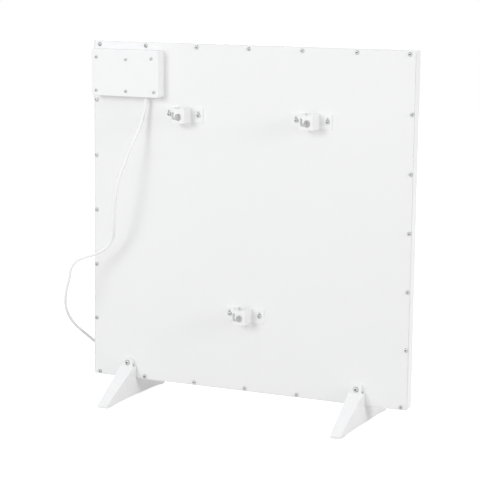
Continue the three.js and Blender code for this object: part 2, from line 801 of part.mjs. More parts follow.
// A brass tube along Z with a screw near each end that presses on the wire, about its middle.
function terminalPole() {
  const half = blockHeight / 2;
  const screwLow = -blockDepth / 2 + poleScrewSink;
  const screwHigh = -leadDiameter / 2 - slip;
  return uprightRod(poleDiameter, -half, half)
    .subtract(uprightRod(poleBore, -half - 1, half + 1, 10))
    .add(joined(rods([[0, half / 2], [0, -half / 2]], poleScrew, screwLow, screwHigh)));
}

function terminalBlock() {
  const [low, high] = [blockZ - blockHeight / 2, blockZ + blockHeight / 2];
  const body = blockAt(blockX, blockZ, blockWidth / 2, blockHeight / 2, baseY - blockDepth, baseY);
  const bore = uprightRod(poleDiameter + 2 * slip, low - 1, high + 1);
  const wells = poleXs.flatMap((x) => [-1, 1].map((side) => [x, blockZ + (side * blockHeight) / 4]));
  return cut(body, [
    ...poleXs.map((x) => bore.translate([x, poleY, 0])),
    ...rods(wells, poleScrew + 2 * slip, baseY - blockDepth - 1, poleY),
  ]);
}

function leadGrommet() {
  const [low, high] = [backY - grommetCollarRise, plateInsideY + grommetCollarRise];
  const bore = grommetBore / 2;
  const neck = grommetNeck / 2;
  const collar = grommetCollar / 2;
  return turned(
    [
      [bore, low],
      [collar, low],
      [collar, backY],
      [neck, backY],
      [neck, plateInsideY],
      [collar, plateInsideY],
      [collar, high],
      [bore, high],
      [bore, low],
    ],
    16,
  );
}

function earthNut() {
  const corners = nutFlats / Math.cos(Math.PI / 6);
  const hole = rod(0, 0, studDiameter + 2 * slip, -earthNutRise - 1, 1, 10);
  return rod(0, 0, corners, -earthNutRise, 0, 6).subtract(hole);
}

const tongueY = baseY - tongueSheet;
const barrelX = studX + tongueDiameter;
const barrelEndX = barrelX + barrelLength;

function earthTongue() {
  const half = tongueDiameter / 4;
  return rod(studX, studZ, tongueDiameter, tongueY, baseY, boreSides)
    .add(block(studX, barrelX + 1, tongueY, baseY, studZ - half, studZ + half))
    .add(block(barrelX, barrelEndX, baseY - barrelRise, baseY, studZ - half, studZ + half))
    .subtract(rod(studX, studZ, studDiameter + 2 * slip, tongueY - 1, baseY + 1, 10));
}

// A bimetal cut-out that sits on the foil in a pocket of the board and breaks the live lead.
const bladeY = stripY - cutoutRise + cutoutBladeRise;
const bladeReach = cutoutDiameter / 2 + cutoutBladeLength;

function thermalCutout() {
  const back = stripY - cutoutRise;
  const rim = stripY - 0.4 * cutoutRise;
  const cap = 0.38 * cutoutDiameter;
  const disc = cutoutDiameter / 2;
  const blades = blockAt(0, 0, cutoutBladeWidth / 2, bladeReach, bladeY, bladeY + cutoutBladeSheet);
  const profile = [[0, back], [cap, back], [cap, rim], [disc, rim], [disc, stripY], [0, stripY]];
  return turned(profile, cutoutSides).add(blades);
}

const tailTopZ = boxBottomZ + boxWall + tailLength;

function coreStart(turn) {
  return [cordX + coreSpread * Math.cos(turn), cordY + coreSpread * Math.sin(turn), tailTopZ + touch];
}

// From the lead's end to the lower end of a pole. A core that starts further out passes higher.
function coreToPole(poleX, turn, passZ) {
  const [x, y, z] = coreStart(turn);
  const entryZ = blockZ - blockHeight / 2 + poleGrip;
  return [[x, y, z], [x, y, passZ], [poleX, poleY, passZ + 1], [poleX, poleY, entryZ]];
}

function coreToEarth(turn) {
  const [x, y, z] = coreStart(turn);
  const endY = baseY - barrelRise / 2;
  const passZ = (tailTopZ + studZ) / 2;
  const endX = barrelEndX + touch;
  return [[x, y, z], [x, y, z + 2], [x - 4, endY - 1, passZ], [endX + 8, endY, studZ], [endX, endY, studZ]];
}

// From the upper end of a pole, through the grommet and the plate.
function leadToGrommet(poleX, runY, side, insideY) {
  const startZ = blockZ + blockHeight / 2 - poleGrip;
  const bendZ = grommetZ - 2;
  const x = grommetX + side * leadSpread;
  return [
    [poleX, poleY, startZ],
    [poleX, poleY, bendZ - 2],
    [poleX, runY, bendZ],
    [x, runY, grommetZ],
    [x, insideY, grommetZ],
  ];
}

const padY = stripY - padSheet - touch;
const channelMiddleY = stripY - padSheet - channelDepth / 2 + 0.5;
const bayMiddleY = bayY - leadDiameter / 2 - touch;
const bladeMiddleY = bladeY + cutoutBladeSheet / 2;

const liveLead = [
  ...leadToGrommet(poleXs[0], poleY, 1, bayMiddleY),
  [grommetX + leadSpread, bayMiddleY, leadDiveZ + leadBend],
  [cutoutX, bayMiddleY, leadDiveZ + leadBend],
  [cutoutX, bayMiddleY, leadDiveZ],
  [cutoutX, bladeMiddleY, leadDiveZ],
  [cutoutX, bladeMiddleY, cutoutZ + bladeReach + touch],
];

const cutoutLead = [
  [cutoutX, bladeMiddleY, cutoutZ - bladeReach - touch],
  [cutoutX, bladeMiddleY, busLeadZ],
  [-busBarX, bladeMiddleY, busLeadZ],
  [-busBarX, padY, busLeadZ],
];

const neutralLead = [
  ...leadToGrommet(poleXs[1], poleY - 2 * leadDiameter, -1, channelMiddleY),
  [busBarX, channelMiddleY, grommetZ],
  [busBarX, padY, grommetZ],
];

// ---- Mains lead ----

const tieReach = cordDiameter / 2 + 2 * slip; // from a turn's middle line to the strap
const floorCordZ = floorClearance + tieSheet + tieReach;
const coilTurns = coilTurnsIn + coilTurnsOut;
const coilStartX = coilX - coilInside - coilTurnsIn * coilPitch;

// The lead's free run: down from the box, round the panel's left edge and onto the floor. The points
// after the first are chosen by eye, up to where the coil begins.
const freeRun = [
  [cordX, cordY, boxBottomZ - touch],
  [cordX, cordY - 0.3, 531],
  [-192.5, -22.5, 517],
  [-197.8, -29.8, 489.6],
  [-204.1, -43, 464],
  [-212.2, -53.6, 435],
  [-219.7, -61.6, 405.7],
  [-224.5, -66, 379.7],
  [-230.3, -62.5, 347.2],
  [-236.3, -53.6, 311.9],
  [-242.1, -46, 294.4],
  [-254.5, -45, 276.4],
  [-272.2, -54, 263.5],
  [-289.2, -67, 256.8],
  [-300.6, -73.3, 250.6],
  [-308.8, -76.8, 238.3],
  [-313.5, -76, 219.6],
  [-319, -74, 204.4],
  [-324.2, -71, 188.2],
  [-330, -60, 163],
  [-333, -37, 137],
  [-333, -5, 113],
  [-330, 29, 90],
  [-322, 63, 64],
  [-311, 89, 41],
  [-298, 109, 21],
  [-286, 125, 9.5],
  [-278, 139, 5],
];

// Stations at equal steps on a smooth curve through points.
function smoothLine(points, steps) {
  const corners = points.map((point) => new THREE.Vector3(...point));
  return new THREE.CatmullRomCurve3(corners, false, 'centripetal').getSpacedPoints(steps);
}

function freeRunStations() {
  const landing = [
    [coilStartX - 0.5, coilY - 3.3 * cordDiameter, floorCordZ],
    [coilStartX, coilY - 2.3 * cordDiameter, floorCordZ],
    [coilStartX, coilY - cordDiameter - touch, floorCordZ],
  ];
  return smoothLine([...freeRun, ...landing], 72);
}

// The coil: flat turns that spiral in on the floor, climb a layer where the spiral reverses, and
// spiral out again on top. It runs clockwise from above and starts at its left.
function coilStation(turn) {
  const fromReversal = turn - coilTurnsIn;
  const radius = coilInside + coilPitch * Math.abs(fromReversal);
  const climb = THREE.MathUtils.smoothstep(fromReversal, -0.25, 0.25);
  const angle = Math.PI * (1 - 2 * turn);
  return new THREE.Vector3(
    coilX + radius * Math.cos(angle),
    coilY + radius * Math.sin(angle),
    floorCordZ + climb * coilLayer,
  );
}

function coilStations() {
  const steps = Math.round(coilTurns * coilStepsPerTurn);
  const turns = Array.from({ length: steps + 1 }, (_, i) => coilStation((i * coilTurns) / steps));
  const leadIn = new THREE.Vector3(coilStartX, coilY - cordDiameter, floorCordZ);
  const leadOut = coilEnd.clone().setX(coilEnd.x + cordDiameter);
  return [leadIn, ...turns, leadOut];
}

// The least gap between two stretches of a line that lie more than a few diameters apart on it.
function leastGap(stations, diameter, apart) {
  let least = Infinity;
  for (let i = 0; i < stations.length; i++) {
    for (let k = i + apart; k < stations.length; k++) {
      const line = new THREE.Line3(stations[k - 1], stations[k]);
      const nearest = line.closestPointToPoint(stations[i], true, new THREE.Vector3());
      least = Math.min(least, nearest.distanceTo(stations[i]));
    }
  }
  return least - diameter;
}

// A strap round all the coil's turns, where they pass nearest to the panel.
function cordTie() {
  const passes = Array.from({ length: Math.floor(coilTurns + 0.25) }, (_, k) => coilStation(k + 0.75));
  const ys = passes.map((pass) => pass.y);
  const zs = passes.map((pass) => pass.z);
  const [y0, y1, z0, z1] = [Math.min(...ys), Math.max(...ys), Math.min(...zs), Math.max(...zs)];
  const ring = (reach, y) => {
    const corner = rectangle(y0 - reach, y1 + reach, z0 - reach, z1 + reach, 0.8 * reach);
    return slab(corner, -y, y, 3).rotate([0, 0, 90]);
  };
  return ring(tieReach + tieSheet, tieWidth / 2).subtract(ring(tieReach, tieWidth));
}

// From the coil's end to the plug, which lies on its side on the floor.
const plugZ = plugDiameter / 2;
const coilEnd = coilStation(coilTurns);
const plugRearX = coilEnd.x + endRun;

function endStations() {
  const points = [
    [coilEnd.x + cordDiameter + touch, coilEnd.y, coilEnd.z],
    [coilEnd.x + 2 * cordDiameter, coilEnd.y, coilEnd.z],
    [plugRearX - 1.5 * cordDiameter, coilEnd.y, plugZ],
    [plugRearX - touch, coilEnd.y, plugZ],
  ];
  return smoothLine(points, 10);
}

// A moulded two-pin plug along X, from its sleeve's end at X = 0.
function plug() {
  const neck = plugNeck / 2;
  const body = plugDiameter / 2;
  const shoulder = plugNeckLength;
  const face = plugNeckLength + plugBody;
  const profile = [
    [0, 0],
    [0.7 * neck, 0],
    [neck, shoulder],
    [0.72 * body, shoulder + 0.15 * plugBody],
    [body, shoulder + 0.6 * plugBody],
    [body, face - 0.05 * plugBody],
    [body - 0.05 * plugBody, face],
    [0, face],
  ];
  const pins = [-1, 1].map((side) =>
    uprightRod(plugPin, face - 1, face + plugPinLength, 8).translate([0, (side * plugPinPitch) / 2, 0]),
  );
  return turnedUpright(profile, 20).add(joined(pins)).rotate([0, 90, 0]);
}

// ---- The assembly ----

add('front_pan', frontPan(), whiteEnamel);
add('heating_film', heatingFilm(), carbon);
add('bus_bar_left', busBar(-busBarX, busLeadZ), copper);
add('bus_bar_right', busBar(busBarX, grommetZ), copper);
add('reflector_foil', reflectorFoil(), aluminium);
add('insulation_board', insulationBoard(), wool);
add('back_plate', backPlate(), whitePlate);
addRow('hook_nut', clinchNut(hookShank), zinc, hookScrewSpots, plateInsideY);
addRow('foot_nut', clinchNut(footShank), zinc, footScrewSpots, plateInsideY);

const hookScrew = { head: hookHead, rise: hookHeadRise, shank: hookShank, length: hookScrewLength };
for (const { name, x, z } of hooks) add(name, wallHook(), whiteEnamel, [x, backY, z]);
addRow('hook_screw', screw({ ...hookScrew, cross: true }), zinc, hookScrewSpots, backY - hookSheet);

const footScrew = { head: footHead, rise: footHeadRise, shank: footShank, length: footScrewLength };
for (const { name, x } of feet) add(name, foot(), whitePlastic, [x, 0, 0]);
const footScrewBody = screw({ ...footScrew, sides: footHeadSides, cross: true });
addRow('foot_screw', footScrewBody, zinc, footScrewSpots, backY - lugDepth);

const coverScrew = { head: boxHead, rise: boxHeadRise, shank: boxShank, length: boxScrewLength };
add('box_base', boxBase(), whitePlastic);
add('box_cover', boxCover(), whitePlastic);
addRow('cover_screw', screw({ ...coverScrew, cross: true }), zinc, coverScrewSpots, boxBackY);

const clampScrewLength = baseY - clampFaceY + clampSheet;
const clampScrew = { head: clampHead, rise: clampHeadRise, shank: clampShank, length: clampScrewLength };
add('cord_bush', cordBush(), whitePlastic, [cordX, cordY, boxBottomZ]);
add('cord_tail', uprightRod(cordDiameter, boxBottomZ, tailTopZ), whiteSheath, [cordX, cordY, 0]);
add('cord_clamp', cordClamp(), whitePlastic);
addRow('clamp_screw', screw(clampScrew), zinc, clampScrewSpots, clampFaceY - clampSheet);

add('terminal_block', terminalBlock(), ceramic);
add('terminal_pole_live', terminalPole(), brass, [poleXs[0], poleY, blockZ]);
add('terminal_pole_neutral', terminalPole(), brass, [poleXs[1], poleY, blockZ]);
add('lead_grommet', leadGrommet(), rubber, [grommetX, 0, grommetZ]);
add('earth_stud', rod(studX, studZ, studDiameter, backY - studLength, backY, 10), zinc);
add('earth_tongue', earthTongue(), zinc);
add('earth_nut', earthNut(), zinc, [studX, tongueY, studZ]);
add('thermal_cutout', thermalCutout(), rubber, [cutoutX, 0, cutoutZ]);

const liveRise = tailTopZ + 3; // height at which the live core crosses to its pole
const neutralRise = liveRise + 2 * coreDiameter;
const third = (2 * Math.PI) / 3;
const liveCore = coreToPole(poleXs[0], -0.5 * Math.PI - 0.5 * third, liveRise);
const neutralCore = coreToPole(poleXs[1], -0.5 * Math.PI + 0.5 * third, neutralRise);
add('core_live', wire(bentLine(liveCore, leadBend), coreDiameter), brownWire);
add('core_neutral', wire(bentLine(neutralCore, leadBend), coreDiameter), blueWire);
add('core_earth', wire(bentLine(coreToEarth(0.5 * Math.PI), leadBend), coreDiameter), earthWire);
add('lead_live', wire(bentLine(liveLead, leadBend), leadDiameter), silicone);
add('lead_cutout', wire(bentLine(cutoutLead, leadBend), leadDiameter), silicone);
add('lead_neutral', wire(bentLine(neutralLead, leadBend), leadDiameter), silicone);

add('power_cord', wire(freeRunStations(), cordDiameter), whiteSheath);
add('cord_coil', wire(coilStations(), cordDiameter, 6), whiteSheath);
add('cord_tie', cordTie(), strap, [coilX, 0, 0]);
add('cord_end', wire(endStations(), cordDiameter), whiteSheath);
add('plug', plug(), whitePlastic, [plugRearX, coilEnd.y, plugZ]);
console.log(`cord_coil least gap to itself ${leastGap(coilStations(), cordDiameter, 8).toFixed(2)} mm`);

export default heater;
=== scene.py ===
import json
import math

import bmesh
import bpy
from mathutils import Matrix, Vector

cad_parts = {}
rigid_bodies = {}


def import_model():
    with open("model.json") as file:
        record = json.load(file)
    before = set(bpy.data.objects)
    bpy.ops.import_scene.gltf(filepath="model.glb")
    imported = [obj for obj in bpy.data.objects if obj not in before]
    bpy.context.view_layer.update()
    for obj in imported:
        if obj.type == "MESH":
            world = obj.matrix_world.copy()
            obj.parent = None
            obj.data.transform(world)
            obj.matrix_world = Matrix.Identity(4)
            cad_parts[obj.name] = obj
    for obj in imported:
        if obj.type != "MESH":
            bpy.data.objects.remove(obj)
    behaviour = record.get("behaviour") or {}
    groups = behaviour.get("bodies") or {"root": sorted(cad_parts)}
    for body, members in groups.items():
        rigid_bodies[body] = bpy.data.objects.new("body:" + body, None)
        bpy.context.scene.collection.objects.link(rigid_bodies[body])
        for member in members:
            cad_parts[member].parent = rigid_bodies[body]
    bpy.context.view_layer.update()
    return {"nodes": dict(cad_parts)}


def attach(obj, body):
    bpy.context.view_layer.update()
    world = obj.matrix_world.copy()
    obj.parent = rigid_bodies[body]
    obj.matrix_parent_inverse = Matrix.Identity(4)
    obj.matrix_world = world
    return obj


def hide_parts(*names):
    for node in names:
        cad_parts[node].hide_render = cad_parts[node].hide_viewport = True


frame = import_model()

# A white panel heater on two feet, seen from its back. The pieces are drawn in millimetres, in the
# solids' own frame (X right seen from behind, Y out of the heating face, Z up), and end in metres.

mm = 0.001
scene = bpy.context.scene
print("frame loaded:", len(frame["nodes"]), "nodes")

# camera at the photograph's angle
view = {
    "place": (1.2337, -2.7173, 0.7707),  # metres
    "azimuth": 24.7126,  # degrees round the heater from straight behind it
    "elevation": 8.9456,
    "roll": 0.6464,
    "lens": 131.08,
    "farthest": 100.0,  # metres
}


def makeCamera():
    turn, rise, roll = (math.radians(view[key]) for key in ("azimuth", "elevation", "roll"))
    back = Vector((math.sin(turn) * math.cos(rise), -math.cos(turn) * math.cos(rise), math.sin(rise)))
    level = Vector((math.cos(turn), math.sin(turn), 0))
    upright = back.cross(level)
    right = level * math.cos(roll) + upright * math.sin(roll)
    up = upright * math.cos(roll) - level * math.sin(roll)
    data = bpy.data.cameras.new("camera")
    data.lens = view["lens"]
    data.clip_end = view["farthest"]
    camera = bpy.data.objects.new("camera", data)
    camera.matrix_world = Matrix.Translation(view["place"]) @ Matrix((right, up, back)).transposed().to_4x4()
    scene.collection.objects.link(camera)
    scene.camera = camera


makeCamera()

# ---- materials ----


def addNode(tree, kind, sockets=None, **settings):
    node = tree.nodes.new(kind)
    for key, value in settings.items():
        setattr(node, key, value)
    for key, value in (sockets or {}).items():
        if isinstance(value, bpy.types.NodeSocket):
            tree.links.new(value, node.inputs[key])
        else:
            node.inputs[key].default_value = value
    return node


def newGroup(name, inputs, outputs):
    tree = bpy.data.node_groups.new(name, "ShaderNodeTree")
    for label, value in inputs.items():
        socket = tree.interface.new_socket(label, in_out="INPUT", socket_type="NodeSocketFloat")
        socket.default_value = value
    for label in outputs:
        tree.interface.new_socket(label, in_out="OUTPUT", socket_type="NodeSocketFloat")
    return tree, tree.nodes.new("NodeGroupInput").outputs, tree.nodes.new("NodeGroupOutput").inputs


def maths(tree, operation, first, second):
    return addNode(tree, "ShaderNodeMath", {0: first, 1: second}, operation=operation).outputs[0]


def mixed(tree, mask, first, second):
    node = addNode(tree, "ShaderNodeMix", {"Factor": mask}, data_type="RGBA")
    for socket, value in ((node.inputs[6], first), (node.inputs[7], second)):
        if isinstance(value, bpy.types.NodeSocket):
            tree.links.new(value, socket)
        else:
            socket.default_value = (*value, 1)
    return node.outputs[2]


def noise(tree, vector, scale, detail=2.0):
    sockets = {"Vector": vector, "Scale": scale, "Detail": detail}
    return addNode(tree, "ShaderNodeTexNoise", sockets).outputs["Fac"]


noiseSpan = (0.3, 0.7)  # where most of a noise's values lie


# a noise stretched over a range of its own
def spread(tree, value, low, high):
    least, most = noiseSpan
    sockets = {"Value": value, "From Min": least, "From Max": most, "To Min": low, "To Max": high}
    return addNode(tree, "ShaderNodeMapRange", sockets).outputs["Result"]


specksPerGrain = 0.23  # scale of the specks against the grain's


# fine grain with slow patches, for coats, mouldings and worked metal
def makeGrainGroup():
    inputs = {"Grain": 900.0, "Patch": 9.0, "Along X": 1.0, "Along Y": 1.0, "Along Z": 1.0}
    tree, given, out = newGroup("grainAndPatches", inputs, ("Height", "Patches", "Specks"))
    place = addNode(tree, "ShaderNodeTexCoord").outputs["Object"]
    parts = {"X": given["Along X"], "Y": given["Along Y"], "Z": given["Along Z"]}
    stretch = addNode(tree, "ShaderNodeCombineXYZ", parts).outputs[0]
    drawn = addNode(tree, "ShaderNodeVectorMath", {0: place, 1: stretch}, operation="MULTIPLY").outputs[0]
    tree.links.new(noise(tree, drawn, given["Grain"], 3.0), out["Height"])
    tree.links.new(noise(tree, place, given["Patch"], 4.0), out["Patches"])
    coarse = maths(tree, "MULTIPLY", given["Grain"], specksPerGrain)
    tree.links.new(noise(tree, drawn, coarse, 5.0), out["Specks"])
    return tree


weave = {
    "waver": 0.8,
    "patches": 160.0,
}


# crossed threads: bands along two axes, one over the other
def makeWeaveGroup():
    tree, given, out = newGroup("wovenThreads", {"Threads": 1400.0}, ("Height", "Patches", "Specks"))
    place = addNode(tree, "ShaderNodeTexCoord").outputs["Object"]
    waves = []
    for direction in ("X", "DIAGONAL"):
        sockets = {"Vector": place, "Scale": given["Threads"], "Distortion": weave["waver"], "Detail": 1.0}
        wave = addNode(tree, "ShaderNodeTexWave", sockets, bands_direction=direction)
        waves.append(wave.outputs["Fac"])
    tree.links.new(maths(tree, "MAXIMUM", *waves), out["Height"])
    tree.links.new(noise(tree, place, weave["patches"], 3.0), out["Patches"])
    tree.links.new(maths(tree, "MULTIPLY", *waves), out["Specks"])
    return tree


fibre = {
    "tangle": 35.0,
    "bend": (0.02, 0.02, 0.02),  # metres that the tangle shifts a fibre
    "waver": 6.0,
    "patches": 22.0,
    "specks": 420.0,
}


# tangled fibres for the wool board
def makeFibreGroup():
    tree, given, out = newGroup("tangledFibres", {"Fibres": 260.0}, ("Height", "Patches", "Specks"))
    place = addNode(tree, "ShaderNodeTexCoord").outputs["Object"]
    tangle = addNode(tree, "ShaderNodeTexNoise", {"Vector": place, "Scale": fibre["tangle"], "Detail": 3.0})
    bent = addNode(tree, "ShaderNodeVectorMath", {0: tangle.outputs["Color"], 1: fibre["bend"]},
                   operation="MULTIPLY").outputs[0]
    line = addNode(tree, "ShaderNodeVectorMath", {0: place, 1: bent}, operation="ADD").outputs[0]
    sockets = {"Vector": line, "Scale": given["Fibres"], "Distortion": fibre["waver"], "Detail": 4.0}
    fibres = addNode(tree, "ShaderNodeTexWave", sockets, bands_direction="DIAGONAL")
    tree.links.new(fibres.outputs["Fac"], out["Height"])
    tree.links.new(noise(tree, place, fibre["patches"], 4.0), out["Patches"])
    tree.links.new(noise(tree, line, fibre["specks"], 4.0), out["Specks"])
    return tree


bandSpecks = 700.0


# printed bands of the heating film
def makeBandGroup():
    tree, given, out = newGroup("printedBands", {"Bands": 16.0}, ("Height", "Patches", "Specks"))
    place = addNode(tree, "ShaderNodeTexCoord").outputs["Object"]
    bands = addNode(tree, "ShaderNodeTexWave", {"Vector": place, "Scale": given["Bands"]}, bands_direction="Z")
    tree.links.new(bands.outputs["Fac"], out["Height"])
    tree.links.new(bands.outputs["Fac"], out["Patches"])
    tree.links.new(noise(tree, place, bandSpecks, 3.0), out["Specks"])
    return tree


patterns = {
    "grain": makeGrainGroup(),
    "weave": makeWeaveGroup(),
    "fibre": makeFibreGroup(),
    "bands": makeBandGroup(),
}

# one finish for each slot: two colours that the patches mix, the specks' colour and how much of it
# shows, the range of roughness, and the relief in millimetres; zinc also has the colour of the painted
# shade in its screws' cross recesses
finishes = {
    "white_enamel": {"light": (0.882, 0.884, 0.888), "dark": (0.866, 0.868, 0.874), "speck": (0.82, 0.825, 0.83),
                     "show": 0.1, "rough": (0.36, 0.46), "relief": 0.012, "given": {"Grain": 1100.0, "Patch": 7.0},
                     "coat": 0.12},
    "white_plate": {"light": (0.882, 0.884, 0.886), "dark": (0.87, 0.872, 0.875), "speck": (0.82, 0.825, 0.83),
                    "show": 0.1, "rough": (0.45, 0.55), "relief": 0.012, "given": {"Grain": 1000.0, "Patch": 5.0}},
    "white_plastic": {"light": (0.897, 0.899, 0.904), "dark": (0.886, 0.888, 0.894), "speck": (0.83, 0.835, 0.84),
                      "show": 0.12, "rough": (0.42, 0.56), "relief": 0.01, "given": {"Grain": 2600.0, "Patch": 18.0}},
    "white_sheath": {"light": (0.925, 0.925, 0.925), "dark": (0.905, 0.905, 0.905), "speck": (0.84, 0.84, 0.84),
                     "show": 0.15, "rough": (0.4, 0.52), "relief": 0.03, "given": {"Grain": 500.0, "Patch": 40.0}},
    "zinc": {"light": (0.55, 0.56, 0.55), "dark": (0.4, 0.41, 0.41), "speck": (0.3, 0.3, 0.3), "show": 0.3,
             "rough": (0.3, 0.46), "relief": 0.006, "metal": 1.0,
             "given": {"Grain": 1500.0, "Patch": 260.0, "Along X": 0.3}, "paintedShade": (0.06, 0.058, 0.05)},
    "brass": {"light": (0.72, 0.52, 0.22), "dark": (0.55, 0.38, 0.15), "speck": (0.3, 0.2, 0.08), "show": 0.3,
              "rough": (0.22, 0.4), "relief": 0.006, "metal": 1.0, "given": {"Grain": 1500.0, "Patch": 200.0}},
    "copper": {"light": (0.7, 0.32, 0.17), "dark": (0.52, 0.22, 0.12), "speck": (0.25, 0.1, 0.06), "show": 0.3,
               "rough": (0.25, 0.42), "relief": 0.006, "metal": 1.0,
               "given": {"Grain": 900.0, "Patch": 60.0, "Along Z": 0.05}},
    "aluminium": {"light": (0.78, 0.8, 0.81), "dark": (0.66, 0.68, 0.7), "speck": (0.45, 0.46, 0.48), "show": 0.25,
                  "rough": (0.16, 0.34), "relief": 0.02, "metal": 1.0,
                  "given": {"Grain": 240.0, "Patch": 18.0, "Along X": 0.25}},
    "carbon": {"light": (0.035, 0.037, 0.04), "dark": (0.012, 0.012, 0.014), "speck": (0.08, 0.08, 0.085),
               "show": 0.3, "rough": (0.45, 0.7), "relief": 0.02, "pattern": "bands", "given": {"Bands": 16.0}},
    "wool": {"light": (0.74, 0.6, 0.28), "dark": (0.56, 0.43, 0.17), "speck": (0.86, 0.76, 0.48), "show": 0.5,
             "rough": (0.85, 0.98), "relief": 0.6, "pattern": "fibre", "given": {"Fibres": 260.0}},
    "rubber": {"light": (0.028, 0.029, 0.031), "dark": (0.018, 0.018, 0.02), "speck": (0.06, 0.06, 0.06),
               "show": 0.3, "rough": (0.6, 0.8), "relief": 0.02, "given": {"Grain": 1800.0, "Patch": 120.0}},
    "ceramic": {"light": (0.8, 0.76, 0.68), "dark": (0.7, 0.65, 0.56), "speck": (0.5, 0.44, 0.36), "show": 0.3,
                "rough": (0.3, 0.55), "relief": 0.02, "given": {"Grain": 1500.0, "Patch": 90.0}},
    "brown_wire": {"light": (0.17, 0.06, 0.025), "dark": (0.12, 0.04, 0.016), "speck": (0.24, 0.1, 0.05),
                   "show": 0.2, "rough": (0.4, 0.55), "relief": 0.01, "given": {"Grain": 1600.0, "Patch": 150.0}},
    "blue_wire": {"light": (0.026, 0.12, 0.4), "dark": (0.016, 0.085, 0.3), "speck": (0.06, 0.18, 0.5),
                  "show": 0.2, "rough": (0.4, 0.55), "relief": 0.01, "given": {"Grain": 1600.0, "Patch": 150.0}},
    "earth_wire": {"light": (0.5, 0.5, 0.03), "dark": (0.05, 0.3, 0.05), "speck": (0.3, 0.42, 0.05), "show": 0.2,
                   "rough": (0.4, 0.55), "relief": 0.01, "given": {"Grain": 1600.0, "Patch": 330.0}},
    "strap": {"light": (0.78, 0.78, 0.77), "dark": (0.68, 0.68, 0.67), "speck": (0.5, 0.5, 0.49), "show": 0.35,
              "rough": (0.75, 0.95), "relief": 0.12, "pattern": "weave", "given": {"Threads": 1300.0}},
    "silicone": {"light": (0.36, 0.045, 0.03), "dark": (0.27, 0.03, 0.02), "speck": (0.45, 0.1, 0.07), "show": 0.2,
                 "rough": (0.5, 0.65), "relief": 0.02, "given": {"Grain": 900.0, "Patch": 100.0}},
}


def makeFinish(slot, look):
    words = slot.split("_")
    material = bpy.data.materials.new(words[0] + "".join(word.title() for word in words[1:]) + "Finish")
    material.use_nodes = True
    tree = material.node_tree
    shader = tree.nodes["Principled BSDF"]
    group = addNode(tree, "ShaderNodeGroup", node_tree=patterns[look.get("pattern", "grain")])
    for key, value in look["given"].items():
        group.inputs[key].default_value = value
    height, patches, specks = group.outputs
    ground = mixed(tree, spread(tree, patches, 0.0, 1.0), look["dark"], look["light"])
    colour = mixed(tree, spread(tree, specks, look["show"], 0.0), ground, look["speck"])
    if slot == "zinc":  # painted shade in the screws' cross recesses
        recess = addNode(tree, "ShaderNodeAttribute", attribute_name="recess").outputs["Fac"]
        colour = mixed(tree, recess, colour, look["paintedShade"])
    tree.links.new(colour, shader.inputs["Base Color"])
    tree.links.new(spread(tree, specks, *look["rough"]), shader.inputs["Roughness"])
    bump = addNode(tree, "ShaderNodeBump", {"Height": height, "Distance": look["relief"] * mm, "Strength": 1.0})
    tree.links.new(bump.outputs["Normal"], shader.inputs["Normal"])
    shader.inputs["Metallic"].default_value = look.get("metal", 0.0)
    shader.inputs["Coat Weight"].default_value = look.get("coat", 0.0)
    return material


materials = {slot: makeFinish(slot, look) for slot, look in finishes.items()}

for node in frame["nodes"].values():
    for place in node.material_slots:
        place.material = materials[place.material.name]
print("materials:", len(materials))

# ---- modelling helpers ----

weldGap = 0.0005
alongAxis = 0.999  # cosine above which an edge counts as lying along an axis


def cleaned(bm):
    bmesh.ops.remove_doubles(bm, verts=bm.verts, dist=weldGap)
    bmesh.ops.recalc_face_normals(bm, faces=bm.faces)
    return bm


def block(low, high):
    bm = bmesh.new()
    size = [b - a for a, b in zip(low, high)]
    middle = [(a + b) / 2 for a, b in zip(low, high)]
    place = Matrix.Translation(middle) @ Matrix.Diagonal((*size, 1))
    bmesh.ops.create_cube(bm, size=1, matrix=place)
    return bm


def edgesAlong(bm, axis):
    return [e for e in bm.edges if abs((e.verts[1].co - e.verts[0].co).normalized()[axis]) > alongAxis]


def bevelEdges(bm, edges, offset, segments):
    bmesh.ops.bevel(bm, geom=edges, offset=offset, segments=segments, affect="EDGES", profile=0.5, material=-1)


# a block whose edges along Y are rounded
def roundedBlock(low, high, corner, segments=6):
    bm = block(low, high)
    bevelEdges(bm, edgesAlong(bm, 1), corner, segments)
    return bm


# a round bar along Y
def bar(x, z, y0, y1, radius, sides=24):
    bm = bmesh.new()
    place = Matrix.Translation((x, (y0 + y1) / 2, z)) @ Matrix.Rotation(math.pi / 2, 4, "X")
    bmesh.ops.create_cone(bm, cap_ends=True, segments=sides, radius1=radius, radius2=radius,
                          depth=y1 - y0, matrix=place)
    return bm


def bars(spots, y0, y1, radius, sides=24):
    return [bar(x, z, y0, y1, radius, sides) for x, z in spots]


# a shape turned round the Y axis, from points of radius and Y
def turned(points, sides, rounding=0.0):
    bm = bmesh.new()
    verts = [bm.verts.new((radius, y, 0)) for radius, y in points]
    edges = [bm.edges.new(pair) for pair in zip(verts, verts[1:])]
    if rounding:
        bmesh.ops.bevel(bm, geom=verts[1:-1], offset=rounding, segments=3, affect="VERTICES", profile=0.5,
                        material=-1, clamp_overlap=True)
    bmesh.ops.spin(bm, geom=bm.verts[:] + bm.edges[:], cent=(0, 0, 0), axis=(0, 1, 0), angle=2 * math.pi,
                   steps=sides, use_merge=True)
    return cleaned(bm)


def objectFrom(bm, name):
    mesh = bpy.data.meshes.new(name)
    bm.to_mesh(mesh)
    bm.free()
    piece = bpy.data.objects.new(name, mesh)
    scene.collection.objects.link(piece)
    return piece


def settle(piece):
    graph = bpy.context.evaluated_depsgraph_get()
    mesh = bpy.data.meshes.new_from_object(piece.evaluated_get(graph), depsgraph=graph)
    piece.modifiers.clear()
    spent = piece.data
    piece.data = mesh
    bpy.data.meshes.remove(spent)
    mesh.name = piece.name
    return piece


